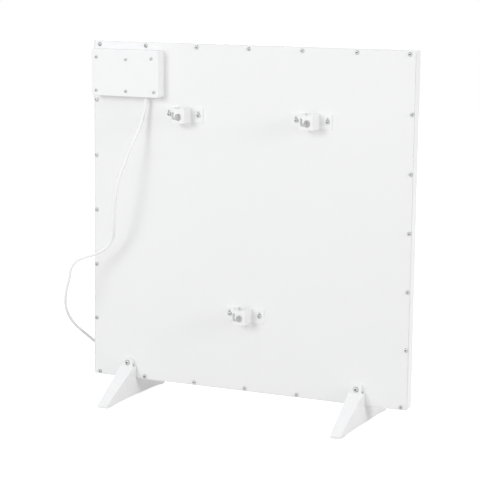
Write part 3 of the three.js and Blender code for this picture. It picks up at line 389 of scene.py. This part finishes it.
# joins or cuts a piece with other shapes
def combine(piece, tools, operation="DIFFERENCE"):
    holder = bpy.data.collections.new("tools")
    scene.collection.children.link(holder)
    for bm in tools:
        tool = objectFrom(bm, "tool")
        scene.collection.objects.unlink(tool)
        holder.objects.link(tool)
    change = piece.modifiers.new("combine", "BOOLEAN")
    change.operand_type = "COLLECTION"
    change.collection = holder
    change.solver = "EXACT"
    change.operation = operation
    settle(piece)
    for tool in list(holder.objects):
        spent = tool.data
        bpy.data.objects.remove(tool)
        bpy.data.meshes.remove(spent)
    bpy.data.collections.remove(holder)
    return piece


def softenEdges(piece, width, segments=2, angle=35):
    soft = piece.modifiers.new("softEdges", "BEVEL")
    soft.width = width
    soft.segments = segments
    soft.limit_method = "ANGLE"
    soft.angle_limit = math.radians(angle)
    soft.use_clamp_overlap = True
    return settle(piece)


# to metres, shaded, with its finish, its body and the nodes that it stands for
def finishPiece(piece, slot, nodes=(), angle=32):
    mesh = piece.data
    mesh.transform(Matrix.Scale(mm, 4))
    mesh.shade_smooth()
    mesh.set_sharp_from_angle(angle=math.radians(angle))
    even = piece.modifiers.new("evenNormals", "WEIGHTED_NORMAL")
    even.keep_sharp = True
    settle(piece)
    piece.data.materials.clear()
    piece.data.materials.append(materials[slot])
    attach(piece, "root")
    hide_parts(*nodes)
    return piece


# ---- mains lead ----

lead = {
    "diameter": 6.0,
    "exit": (-190.5, -21.0, 541.2),
    "route": [  # down from the box, round the panel's left edge and onto the floor
        (-190.5, -21.3, 531), (-192.5, -22.5, 517), (-197.8, -29.8, 489.6), (-204.1, -43, 464),
        (-212.2, -53.6, 435), (-219.7, -61.6, 405.7), (-224.5, -66, 379.7), (-230.3, -62.5, 347.2),
        (-236.3, -53.6, 311.9), (-242.1, -46, 294.4), (-254.5, -45, 276.4), (-272.2, -54, 263.5),
        (-289.2, -67, 256.8), (-300.6, -73.3, 250.6), (-308.8, -76.8, 238.3), (-313.5, -76, 219.6),
        (-319, -74, 204.4), (-324.2, -71, 188.2), (-330, -60, 163), (-333, -37, 137), (-333, -5, 113),
        (-330, 29, 90), (-322, 63, 64), (-311, 89, 41), (-298, 109, 21), (-286, 125, 9.5), (-278, 139, 5),
        (-274.15, 150.2, 4.3), (-273.65, 156.2, 4.3), (-273.65, 164, 4.3),
    ],
    "coilMiddle": (-228.0, 170.0, 4.3),
    "coilInside": 30.8,
    "coilPitch": 6.6,
    "turnsIn": 2.25,  # turns of the lower layer, and then of the upper one
    "turnsOut": 2.0,
    "stepsPerTurn": 24,
    "climbRate": 2,  # half a turn takes the lead from one layer up to the next
    "roundness": 6,  # steps round the lead and between its points
    "end": [(-221.7, 214, 10.9), (-216, 214, 10.9), (-191, 214, 18), (-182.3, 214, 18)],
    "length": 1797.6,
}


def coilPoint(turn):
    past = turn - lead["turnsIn"]
    radius = lead["coilInside"] + lead["coilPitch"] * abs(past)
    share = min(max(past * lead["climbRate"] + 0.5, 0), 1)  # of that climb
    angle = math.pi * (1 - 2 * turn)
    x, y, z = lead["coilMiddle"]
    climb = lead["coilPitch"] * share * share * (3 - 2 * share)
    return (x + radius * math.cos(angle), y + radius * math.sin(angle), z + climb)


def makeLead():
    turns = lead["turnsIn"] + lead["turnsOut"]
    steps = round(turns * lead["stepsPerTurn"])
    coil = [coilPoint(i * turns / steps) for i in range(steps + 1)]
    points = [lead["exit"], *lead["route"], *coil, *lead["end"]]
    data = bpy.data.curves.new("mainsLead", "CURVE")
    data.dimensions = "3D"
    data.bevel_depth = lead["diameter"] / 2 * mm
    data.bevel_resolution = lead["roundness"]
    data.resolution_u = lead["roundness"]
    data.use_fill_caps = True
    spline = data.splines.new("BEZIER")
    spline.bezier_points.add(len(points) - 1)
    for knot, point in zip(spline.bezier_points, points):
        knot.co = Vector(point) * mm
        knot.handle_left_type = knot.handle_right_type = "AUTO"
    data.materials.append(materials["white_sheath"])
    piece = bpy.data.objects.new("mainsLead", data)
    scene.collection.objects.link(piece)
    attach(piece, "root")
    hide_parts("power_cord", "cord_coil", "cord_end")
    return piece


mainsLead = makeLead()
print("mains lead made")

# moulded plug on the floor beside the coil
plugShape = {
    "rear": (-182.0, 214.0, 18.0),
    "sleeve": 24.0,
    "neck": 12.0,
    "body": 30.0,
    "diameter": 36.0,
    "tail": 0.35,  # radius of the sleeve's rear end, as a share of the neck's diameter
    "rings": 5,
    "ringDepth": 1.0,
    "ringSpots": (0.1, 0.4, 0.5),  # a ring's floor and end, as shares of the step from ring to ring
    "shoulders": [(0.72, 0.15), (0.93, 0.36), (1, 0.6)],  # shares of the body's radius and length
    "rim": 1.5,  # bevel round the face
    "grip": (4.2, 3.2, 6.5),  # radius of the side grooves, how far outside they stand, and their pitch
    "earthSlot": (9.0, 13.0, 2.6),  # width, length and depth of the earth contacts' slots
    "pin": 4.8,
    "pinLength": 19.0,
    "pinPitch": 19.0,
    "pinTip": (1.6, 0.3, 0.55),  # where its taper starts and ends, and the share of the radius left
    "clip": (0.34, 0.3, 0.7),  # half width as a share of the slot's, lift and thickness of the earth clips
}


def makePlug():
    shape = plugShape
    sleeve, body, radius = shape["sleeve"], shape["body"], shape["diameter"] / 2
    face = sleeve + body
    thin, thick = shape["tail"] * shape["neck"], shape["neck"] / 2
    profile = [(0, 0), (thin, 0)]
    step = sleeve / (shape["rings"] + 1)
    floorStart, floorEnd, ringEnd = shape["ringSpots"]
    for ring in range(shape["rings"]):
        start = (ring + 0.7) * step
        here = thin + (thick - thin) * start / sleeve
        floor = here - shape["ringDepth"]
        profile += [(here, start), (floor, start + floorStart * step), (floor, start + floorEnd * step),
                    (here, start + ringEnd * step)]
    profile.append((thick, sleeve))
    profile += [(wide * radius, sleeve + far * body) for wide, far in shape["shoulders"]]
    rim = shape["rim"]
    profile += [(radius, face - rim), (radius - rim, face), (0, face)]
    shell = objectFrom(turned(profile, 64, rounding=0.35), "plugBody")
    width, length, depth = shape["earthSlot"]
    slots = [block((-width / 2, face - length, side * radius - depth), (width / 2, face + 1, side * radius + depth))
             for side in (-1, 1)]
    grip, off, pitch = shape["grip"]
    grips = [bar(side * (radius + off), z, sleeve + 0.3 * body, face - 6, grip, 20)
             for side in (-1, 1) for z in (-pitch, 0, pitch)]
    combine(shell, slots + grips)
    softenEdges(shell, 0.4)
    half = shape["pinPitch"] / 2
    tip = face + shape["pinLength"]
    pinRadius = shape["pin"] / 2
    taper, end, left = shape["pinTip"]
    outline = [(0, face - 2), (pinRadius, face - 2), (pinRadius, tip - taper), (left * pinRadius, tip - end),
               (0, tip)]
    clipWide, lift, sheet = shape["clip"]
    metal = []
    for side in (-1, 1):
        pin = turned(outline, 24, rounding=0.5)
        bmesh.ops.translate(pin, vec=(side * half, 0, 0), verts=pin.verts)
        metal.append(objectFrom(pin, "plugPinLive" if side < 0 else "plugPinNeutral"))
        low = radius - depth + lift
        clip = block((-clipWide * width, face - length + 0.5, low), (clipWide * width, face - 0.6, low + sheet))
        bmesh.ops.scale(clip, vec=(1, 1, side), verts=clip.verts)
        bmesh.ops.recalc_face_normals(clip, faces=clip.faces)
        clipPiece = objectFrom(clip, "earthClipLower" if side < 0 else "earthClipUpper")
        softenEdges(clipPiece, 0.25)
        metal.append(clipPiece)
    turn = Matrix.Translation(shape["rear"]) @ Matrix.Rotation(-math.pi / 2, 4, "Z")
    for piece in (shell, *metal):
        piece.data.transform(turn)
    finishPiece(shell, "white_plastic", ["plug"])
    for piece in metal:
        finishPiece(piece, "zinc")
    return [shell, *metal]


plugPieces = makePlug()

# woven strap round the coil's turns
tieShape = {
    "x": (-231.0, -225.0),
    "y": (125.7, 139.5),
    "z": (0.7, 14.5),
    "corner": 2.6,
    "sheet": 0.6,
    "edge": 0.15,
    "tail": (128.0, 138.0),  # the loose end, lying on top
}


def makeTie():
    shape = tieShape
    (x0, x1), (y0, y1), (z0, z1) = shape["x"], shape["y"], shape["z"]
    bm = block((x0, y0, z0), (x1, y1, z1))
    ends = [f for f in bm.faces if abs(f.normal.x) > 0.9]
    bmesh.ops.delete(bm, geom=ends, context="FACES_ONLY")
    bevelEdges(bm, edgesAlong(bm, 0), shape["corner"], 5)
    ring = objectFrom(bm, "coilTie")
    wall = ring.modifiers.new("wall", "SOLIDIFY")
    wall.thickness = shape["sheet"]
    wall.offset = 1
    wall.use_even_offset = True
    settle(ring)
    softenEdges(ring, shape["edge"])
    finishPiece(ring, "strap", ["cord_tie"])
    start, tip = shape["tail"]
    low = z1 + shape["sheet"]
    flap = block((x0, start, low), (x1, tip, low + shape["sheet"]))
    bevelEdges(flap, [e for e in edgesAlong(flap, 2) if e.verts[0].co.y < start + 1], shape["corner"], 6)
    tail = softenEdges(objectFrom(flap, "tieTail"), shape["edge"])
    finishPiece(tail, "strap")
    return [ring, tail]


tiePieces = makeTie()
print("plug and tie made")

# ---- panel ----

panel = {
    "width": 600.0,
    "low": 35.0,
    "high": 637.0,
    "back": -10.0,
    "front": 10.0,
    "sheet": 0.8,
    "corner": 4.0,
    "bend": 1.2,  # radius of the pan's front edges
    "lip": 18.0,
    "groove": 0.6,
    "plateCorner": 2.6,
    "plateEdge": 0.3,
}

# radii of the holes in the back plate
plateHoles = {
    "hook": 2.3,
    "foot": 2.8,
    "cover": 1.8,
    "grommet": 6.3,
}

edgeScrews = {
    "perSide": 5,  # on each side between the corners
    "pitch": 590 / 6,  # the rows of screws are 590 long and have six steps
    "inset": 5.0,
    "topInset": 7.0,
    "cornerInset": 11.5,
    "hole": 3.6,
    "head": 7.4,
    "rise": 2.3,
    "shank": 3.3,
    "length": 8.0,
    "seat": 0.0,
}


def edgeSpots():
    half = panel["width"] / 2
    away = half - edgeScrews["inset"]
    corner = half - edgeScrews["cornerInset"]
    rows = (panel["low"] + edgeScrews["inset"], panel["high"] - edgeScrews["topInset"])
    middle = sum(rows) / 2
    steps = [(i - (edgeScrews["perSide"] - 1) / 2) * edgeScrews["pitch"] for i in range(edgeScrews["perSide"])]
    spots = []
    for side, high in zip((-1, 1), rows):
        spots += [(step, high) for step in steps]
        spots += [(side * away, middle + step) for step in steps]
        spots += [(-corner, high), (corner, high)]
    return spots


hooks = {
    "wall_hook_upper_left": (-121.0, 513.0),
    "wall_hook_upper_right": (119.0, 513.0),
    "wall_hook_lower": (-1.0, 171.0),
}
hookScrewPitch = 57.0
hookScrewSpots = [(x + side * hookScrewPitch / 2, z) for x, z in hooks.values() for side in (-1, 1)]
footSpots = {"foot_left": -228.0, "foot_right": 210.5}
footScrewHeight = 64.0
footScrewSpots = [(x, footScrewHeight) for x in footSpots.values()]
coverScrewSpots = [(-283.5, 608.5), (-224.8, 605.5), (-174.7, 608.5), (-283.5, 550.6), (-224.8, 550.6),
                   (-169.5, 550.6)]
grommetSpot = (-260.5, 599.5)


def makePan():
    half = panel["width"] / 2
    low, high, back, front = panel["low"], panel["high"], panel["back"], panel["front"]
    sheet = panel["sheet"]
    outside = roundedBlock((-half, back, low), (half, front, high), panel["corner"], 8)
    rim = [e for e in outside.edges if all(v.co.y > front - 0.01 for v in e.verts)]
    bevelEdges(outside, rim, panel["bend"], 5)
    pan = objectFrom(outside, "frontPan")
    inner = half - sheet
    inside = (low + sheet, high - sheet)
    corner = panel["corner"] - sheet
    seat = back + sheet
    lipInside = seat + sheet
    hollow = roundedBlock((-inner, lipInside, inside[0]), (inner, front - sheet, inside[1]), corner)
    recess = roundedBlock((-inner, back - 1, inside[0]), (inner, seat, inside[1]), corner)
    reach = half - panel["lip"]
    opening = block((-reach, back - 1, low + panel["lip"]), (reach, lipInside + 1, high - panel["lip"]))
    holes = bars(edgeSpots(), seat - 1, lipInside + 1, edgeScrews["hole"] / 2, 16)
    holes += bars(coverScrewSpots, seat - 1, lipInside + 1, plateHoles["cover"], 16)
    combine(pan, [hollow, recess, opening, *holes])
    return finishPiece(pan, "white_enamel", ["front_pan"])


def makePlate():
    inset = panel["sheet"] + panel["groove"]
    half = panel["width"] / 2 - inset
    back, inside = panel["back"], panel["back"] + panel["sheet"]
    sheet = roundedBlock((-half, back, panel["low"] + inset), (half, inside, panel["high"] - inset),
                         panel["plateCorner"], 6)
    rim = [e for e in sheet.edges if all(v.co.y < back + 0.01 for v in e.verts)]
    bevelEdges(sheet, rim, panel["plateEdge"], 3)
    plate = objectFrom(sheet, "backPlate")
    through = (back - 1, inside + 1)
    holes = bars(edgeSpots(), *through, edgeScrews["hole"] / 2, 16)
    for kind, spots in (("hook", hookScrewSpots), ("foot", footScrewSpots), ("cover", coverScrewSpots)):
        holes += bars(spots, *through, plateHoles[kind], 16)
    holes.append(bar(*grommetSpot, *through, plateHoles["grommet"]))
    combine(plate, holes)
    return finishPiece(plate, "white_plate", ["back_plate"])


makePan()
makePlate()
print("panel made")

# ---- screws ----

# seat is how far a head stands off the back plate
screws = {
    "edge": edgeScrews,
    "hook": {"head": 7.6, "rise": 2.6, "shank": 4.0, "length": 10.0, "seat": 2.0},
    "foot": {"head": 10.0, "rise": 3.0, "shank": 5.0, "length": 20.0, "seat": 8.5},
    "cover": {"head": 5.6, "rise": 2.0, "shank": 3.0, "length": 25.0, "seat": 22.0},
}

# shares of a head's radius across it, and of its rise along it
headShape = {
    "dome": [(0, 1), (0.4, 0.98), (0.7, 0.86), (0.9, 0.6), (1, 0.25)],
    "round": 0.12,
    "arm": (0.56, 0.14),  # half length and half width of the cross
    "armFloor": 0.3,
    "armTaper": (0.45, 1, 0.6),
    "middle": (0.08, 0.3),  # radii of the cone in the cross
    "middleDepth": 1.1,
    "paintedShade": (0.6, 0.88),  # the part of the head that is marked as recess, where painted shade darkens it
}
turnStep = 37  # degrees that each screw stands further round than the last


# a pan head screw with its seat at Y = 0 and a tapered cross in its head
def makeScrew(kind):
    head, rise, shank, length = (screws[kind][key] for key in ("head", "rise", "shank", "length"))
    radius = head / 2
    profile = [(across * radius, -up * rise) for across, up in headShape["dome"]]
    profile += [(radius, 0), (shank / 2, 0), (shank / 2, length - shank / 2), (0, length)]
    screw = objectFrom(turned(profile, 32, rounding=headShape["round"] * rise), "screw")
    reach, wide = (share * radius for share in headShape["arm"])
    arms = []
    for turn in (0, math.pi / 2):
        arm = block((-reach, -rise - 0.6, -wide), (reach, -headShape["armFloor"] * rise, wide))
        deep = [v for v in arm.verts if v.co.y > -0.5 * rise]
        bmesh.ops.scale(arm, vec=headShape["armTaper"], verts=deep)
        bmesh.ops.rotate(arm, cent=(0, 0, 0), matrix=Matrix.Rotation(turn, 3, "Y"), verts=arm.verts)
        arms.append(arm)
    middle = bmesh.new()
    place = Matrix.Translation((0, -0.65 * rise, 0)) @ Matrix.Rotation(-math.pi / 2, 4, "X")
    narrow, broad = (share * radius for share in headShape["middle"])
    bmesh.ops.create_cone(middle, cap_ends=True, segments=8, radius1=narrow, radius2=broad,
                          depth=headShape["middleDepth"] * rise, matrix=place)
    combine(screw, [*arms, middle])
    softenEdges(screw, 0.012 * head, 1, 50)
    # the recess mark tells the zinc finish where to paint shade into the cross
    recess = screw.data.attributes.new("recess", "FLOAT", "POINT")
    near, deepest = headShape["paintedShade"]
    for vert, mark in zip(screw.data.vertices, recess.data):
        across, y, along = vert.co
        inside = math.hypot(across, along) < near * radius and -deepest * rise < y < 0
        mark.value = 1.0 if inside else 0.0
    return screw


# one screw on each spot, each turned its own way
def placeScrews(kind, spots, names, nodes=None):
    model = makeScrew(kind)
    seatY = panel["back"] - screws[kind]["seat"]
    for i, (x, z) in enumerate(spots):
        turn = math.radians(turnStep * i % 90)  # a cross looks the same after 90
        mesh = model.data.copy()
        mesh.transform(Matrix.Translation((x, seatY, z)) @ Matrix.Rotation(turn, 4, "Y"))
        piece = bpy.data.objects.new(f"{names}{i + 1}", mesh)
        scene.collection.objects.link(piece)
        finishPiece(piece, "zinc", [f"{nodes}_{i + 1}"] if nodes else [])
    spent = model.data
    bpy.data.objects.remove(model)
    bpy.data.meshes.remove(spent)


placeScrews("edge", edgeSpots(), "edgeScrew")
placeScrews("hook", hookScrewSpots, "hookScrew", "hook_screw")
placeScrews("foot", footScrewSpots, "footScrew", "foot_screw")
placeScrews("cover", coverScrewSpots, "coverScrew", "cover_screw")
print("screws made")

# ---- wall hooks ----

hookShape = {
    "width": 72.0,
    "height": 26.0,
    "standOff": 28.5,
    "crown": 25.5,
    "sheet": 2.0,
    "bend": 1.0,
    "corner": 2.5,  # rounding of the flanges' corners
    "keyhole": (1.5, -2.3, 12.5),  # X, Z and diameter
    "keySlot": 4.8,
    "keyRun": 10.2,
    "keyRise": 9.0,
    "keyDrop": 5.0,
    "screwSlot": (4.6, 5.0),  # width and rise
    "notch": 3.6,
    "notchSquash": 0.7,
    "edge": 0.35,
}


# a tool for a slot with round ends, between two points in X and Z
def slotTool(x0, z0, x1, z1, width, y0, y1):
    middle = ((x0 + x1) / 2, (y0 + y1) / 2, (z0 + z1) / 2)
    run = math.hypot(x1 - x0, z1 - z0) + width
    bm = block((-run / 2, y0 - middle[1], -width / 2), (run / 2, y1 - middle[1], width / 2))
    bevelEdges(bm, edgesAlong(bm, 1), 0.499 * width, 8)  # just under half, so that the arcs don't meet
    turn = Matrix.Rotation(-math.atan2(z1 - z0, x1 - x0), 4, "Y")
    bmesh.ops.transform(bm, matrix=Matrix.Translation(middle) @ turn, verts=bm.verts)
    return bm


def makeHook(name, x, z):
    shape = hookShape
    sheet, high = shape["sheet"], shape["height"] / 2
    end, side = shape["width"] / 2, shape["crown"] / 2 - sheet
    crownY = sheet - shape["standOff"]
    bm = bmesh.new()
    line = [(-end, 0), (-side, 0), (-side, crownY), (side, crownY), (side, 0), (end, 0)]
    verts = [bm.verts.new((across, y, -high)) for across, y in line]
    for pair in zip(verts, verts[1:]):
        bm.edges.new(pair)
    for corners, radius in ((verts[1:5:3], shape["bend"] + sheet), (verts[2:4], shape["bend"])):
        bmesh.ops.bevel(bm, geom=corners, offset=radius, segments=6, affect="VERTICES", profile=0.5, material=-1)
    grown = bmesh.ops.extrude_edge_only(bm, edges=bm.edges[:])["geom"]
    bmesh.ops.translate(bm, vec=(0, 0, 2 * high), verts=[v for v in grown if isinstance(v, bmesh.types.BMVert)])
    bmesh.ops.recalc_face_normals(bm, faces=bm.faces)
    crown = min(bm.faces, key=lambda face: face.calc_center_median().y)
    if crown.normal.y > 0:
        bmesh.ops.reverse_faces(bm, faces=bm.faces)
    hook = objectFrom(bm, {"wall_hook_upper_left": "hookUpperLeft", "wall_hook_upper_right": "hookUpperRight",
                           "wall_hook_lower": "hookLower"}[name])
    wall = hook.modifiers.new("wall", "SOLIDIFY")
    wall.thickness = sheet
    wall.offset = 1
    wall.use_even_offset = True
    settle(hook)
    bm = bmesh.new()
    bm.from_mesh(hook.data)
    bevelEdges(bm, [e for e in edgesAlong(bm, 1) if abs(e.verts[0].co.x) > end - 0.1], shape["corner"], 5)
    bm.to_mesh(hook.data)
    bm.free()
    keyX, keyZ, keyDiameter = shape["keyhole"]
    slotX, slotWidth = keyX - shape["keyRun"], shape["keySlot"]
    slotZ = keyZ - shape["keyDrop"] + slotWidth / 2
    outerY, innerY = crownY - sheet - 1, crownY + 1
    nick = shape["notch"] / 2
    notch = block((-nick, outerY, -nick), (nick, innerY, nick))
    bmesh.ops.rotate(notch, cent=(0, 0, 0), matrix=Matrix.Rotation(math.pi / 4, 3, "Y"), verts=notch.verts)
    bmesh.ops.translate(notch, vec=(0, 0, high), verts=notch.verts)
    bmesh.ops.scale(notch, vec=(shape["notchSquash"], 1, 1), verts=notch.verts)
    width, rise = shape["screwSlot"]
    tools = [
        bar(keyX, keyZ, outerY, innerY, keyDiameter / 2, 40),
        slotTool(keyX, slotZ, slotX, slotZ, slotWidth, outerY, innerY),
        slotTool(slotX, slotZ, slotX, keyZ + shape["keyRise"] - slotWidth / 2, slotWidth, outerY, innerY),
        notch,
    ]
    half = hookScrewPitch / 2
    tools += [slotTool(spot, 0, spot, rise, width, -sheet - 1, 1) for spot in (-half, half)]
    combine(hook, tools)
    softenEdges(hook, shape["edge"], 2, 40)
    hook.data.transform(Matrix.Translation((x, panel["back"], z)))
    return finishPiece(hook, "white_enamel", [name])


for hookName, (hookX, hookZ) in hooks.items():
    makeHook(hookName, hookX, hookZ)
print("hooks made")

# ---- feet ----

footShape = {
    "width": 27.0,
    "toeWidth": 19.0,
    "face": 10.0,  # half the panel's depth
    "slip": 0.3,
    "reach": 101.0,
    "lift": 35.0,
    "shoulder": 57.0,
    "shoulderDepth": 9.5,
    "toeRise": 6.2,
    "toePad": 12.0,
    "toeRound": 3.0,
    "toeOutline": [(0.3, 1), (0, 0.8), (0, 0.15), (0.4, 0)],  # back from the tip in toeRounds, up in toeRises
    "soleRise": 2.4,
    "soleArch": 3.0,
    "lugRadius": 9.0,
    "lugDepth": 8.5,
    "bore": 2.8,
    "round": 0.9,
}


def makeFoot(name, x):
    shape = footShape
    face, tip = shape["face"], shape["face"] + shape["reach"]
    toe, rise, sole = shape["toeRound"], shape["toeRise"], shape["soleRise"]
    heel = tip - toe - shape["toePad"]
    half = [
        (face + shape["slip"], shape["lift"]),
        (face + shape["slip"], shape["shoulder"]),
        (face + shape["shoulderDepth"], shape["shoulder"]),
        *[(tip - far * toe, up * rise) for far, up in shape["toeOutline"]],
        (heel, 0),
        (heel - 4 * sole, sole),
        (0.5 * heel, sole + 0.7 * shape["soleArch"]),
        (face, sole + shape["soleArch"]),
    ]
    outline = [(-y, z) for y, z in half] + half[::-1]
    wide = shape["width"] / 2
    bm = bmesh.new()
    flank = bm.faces.new([bm.verts.new((-wide, y, z)) for y, z in outline])
    grown = bmesh.ops.extrude_face_region(bm, geom=[flank])["geom"]
    bmesh.ops.translate(bm, vec=(2 * wide, 0, 0), verts=[v for v in grown if isinstance(v, bmesh.types.BMVert)])
    for vert in bm.verts:  # the foot narrows from the panel to its toes
        share = max(0, (abs(vert.co.y) - face) / shape["reach"])
        vert.co.x *= 1 + share * (shape["toeWidth"] / shape["width"] - 1)
    cleaned(bm)
    corners = [e for e in edgesAlong(bm, 2) if abs(e.verts[0].co.y) > tip - toe]
    bevelEdges(bm, corners, toe, 4)
    foot = objectFrom(bm, "footLeft" if x < 0 else "footRight")
    lug = (-face - shape["lugDepth"], -face - shape["slip"])
    radius = shape["lugRadius"]
    ear = bar(0, footScrewHeight, *lug, radius, 40)
    web = block((-radius, lug[0], shape["shoulder"] - 2), (radius, lug[1], footScrewHeight))
    combine(foot, [ear, web], "UNION")
    combine(foot, [bar(0, footScrewHeight, lug[0] - 1, 0, shape["bore"])])
    softenEdges(foot, shape["round"], 3, 28)
    foot.data.transform(Matrix.Translation((x, 0, 0)))
    return finishPiece(foot, "white_plastic", [name])


for footName, footX in footSpots.items():
    makeFoot(footName, footX)
print("feet made")

# ---- connection box cover ----

coverShape = {
    "x": (-292.5, -161.5),
    "z": (541.5, 623.0),
    "depth": 22.0,
    "wall": 2.2,
    "corner": 3.0,
    "edge": 1.0,
    "innerCorner": 0.8,
    "boss": 3.8,  # radius of the screws' bosses
    "bossGap": 2.3,  # from their ends to the back plate
    "hole": 1.8,
    "cordHole": (-190.5, -21.0, 4.95),  # X, Y and radius
}


def makeCover():
    shape = coverShape
    (x0, x1), (z0, z1) = shape["x"], shape["z"]
    seat = panel["back"]
    back = seat - shape["depth"]
    shell = roundedBlock((x0, back, z0), (x1, seat, z1), shape["corner"], 8)
    rim = [e for e in shell.edges if all(v.co.y < back + 0.01 for v in e.verts)]
    bevelEdges(shell, rim, shape["edge"], 5)
    cover = objectFrom(shell, "boxCover")
    wall = shape["wall"]
    hollow = roundedBlock((x0 + wall, back + wall, z0 + wall), (x1 - wall, seat + 1, z1 - wall),
                          shape["innerCorner"], 3)
    combine(cover, [hollow])
    combine(cover, bars(coverScrewSpots, back + wall / 2, seat - shape["bossGap"], shape["boss"]), "UNION")
    holes = bars(coverScrewSpots, back - 1, seat + 1, shape["hole"])
    x, y, radius = shape["cordHole"]
    cordHole = bar(0, 0, -1, wall + 1, radius, 32)
    bmesh.ops.rotate(cordHole, cent=(0, 0, 0), matrix=Matrix.Rotation(math.pi / 2, 3, "X"), verts=cordHole.verts)
    bmesh.ops.translate(cordHole, vec=(x, y, z0), verts=cordHole.verts)
    combine(cover, [*holes, cordHole])
    return finishPiece(cover, "white_plastic", ["box_cover"])


makeCover()
print("box cover made")

# ---- floor, backdrop and light ----

studio = {
    "floor": 12.0,  # metres across
    "floorColour": (0.93, 0.93, 0.932),  # as the camera sees it
    "bounceColour": (0.6, 0.59, 0.575),  # as it lights the heater
    "floorGlow": 0.72,  # added for the camera, so that the floor shows white
    "floorRough": 0.9,
    "cloudScale": 3.0,
    "cloudTint": 0.99,  # the floor's darker patches, as a share of its colour
    "ambient": 0.69,
    "ambientColour": (1.0, 1.0, 1.0),
    "aim": (0, 0, 0.35),  # what the lamps point at
}

# direction from the heater, distance, size (all in metres), power and colour of each lamp
lamps = {
    "keyLight": {"from": (-0.40, -1.0, 0.36), "distance": 5.0, "size": 2.0, "power": 58.0,
                 "colour": (0.97, 0.985, 1.0)},
    "softBox": {"from": (-0.45, -1.0, 0.15), "distance": 4.2, "size": 3.8, "power": 26.0,
                "colour": (0.985, 0.99, 1.0)},
    "sideFill": {"from": (1.0, -0.2, 0.3), "distance": 3.2, "size": 0.9, "power": 24.0,
                 "colour": (1.0, 1.0, 1.0)},
    "frontFill": {"from": (-0.5, 1.0, 0.5), "distance": 3.5, "size": 2.4, "power": 24.0,
                  "colour": (1.0, 1.0, 1.0)},
}


def makeFloor():
    bm = bmesh.new()
    bmesh.ops.create_grid(bm, x_segments=1, y_segments=1, size=studio["floor"] / 2)
    floor = objectFrom(bm, "floor")
    material = bpy.data.materials.new("paleFloor")
    material.use_nodes = True
    tree = material.node_tree
    shader = tree.nodes["Principled BSDF"]
    place = addNode(tree, "ShaderNodeTexCoord").outputs["Object"]
    cloud = noise(tree, place, studio["cloudScale"], 4.0)
    pale = tuple(studio["cloudTint"] * part for part in studio["floorColour"])
    tree.links.new(mixed(tree, cloud, pale, studio["floorColour"]), shader.inputs["Base Color"])
    shader.inputs["Roughness"].default_value = studio["floorRough"]
    path = addNode(tree, "ShaderNodeLightPath")
    seen = maths(tree, "MAXIMUM", path.outputs["Is Camera Ray"], path.outputs["Is Glossy Ray"])
    glow = addNode(tree, "ShaderNodeEmission", {"Color": (1, 1, 1, 1), "Strength": studio["floorGlow"]})
    both = addNode(tree, "ShaderNodeAddShader", {0: shader.outputs[0], 1: glow.outputs[0]})
    bounce = addNode(tree, "ShaderNodeBsdfDiffuse", {"Color": (*studio["bounceColour"], 1)})
    choice = addNode(tree, "ShaderNodeMixShader", {0: seen, 1: bounce.outputs[0], 2: both.outputs[0]})
    tree.links.new(choice.outputs[0], tree.nodes["Material Output"].inputs["Surface"])
    floor.data.materials.append(material)


def makeWorld():
    world = bpy.data.worlds.new("studio")
    world.use_nodes = True
    scene.world = world
    tree = world.node_tree
    room = tree.nodes["Background"]
    room.inputs["Color"].default_value = (*studio["ambientColour"], 1)
    room.inputs["Strength"].default_value = studio["ambient"]
    white = addNode(tree, "ShaderNodeBackground", {"Color": (1, 1, 1, 1), "Strength": 1.0})
    path = addNode(tree, "ShaderNodeLightPath")
    seen = maths(tree, "MAXIMUM", path.outputs["Is Camera Ray"], path.outputs["Is Glossy Ray"])
    seen = maths(tree, "MAXIMUM", seen, path.outputs["Is Transmission Ray"])
    choice = addNode(tree, "ShaderNodeMixShader", {0: seen, 1: room.outputs[0], 2: white.outputs[0]})
    tree.links.new(choice.outputs[0], tree.nodes["World Output"].inputs["Surface"])


def makeLamp(name, lamp):
    data = bpy.data.lights.new(name, "AREA")
    data.shape = "DISK"
    data.size = lamp["size"]
    data.energy = lamp["power"]
    data.color = lamp["colour"]
    light = bpy.data.objects.new(name, data)
    away = Vector(lamp["from"]).normalized()
    light.location = Vector(studio["aim"]) + away * lamp["distance"]
    light.rotation_euler = away.to_track_quat("Z", "Y").to_euler()
    scene.collection.objects.link(light)


makeFloor()
makeWorld()
for lampName, lampShape in lamps.items():
    makeLamp(lampName, lampShape)
scene.view_settings.view_transform = "Standard"
print("stage made")
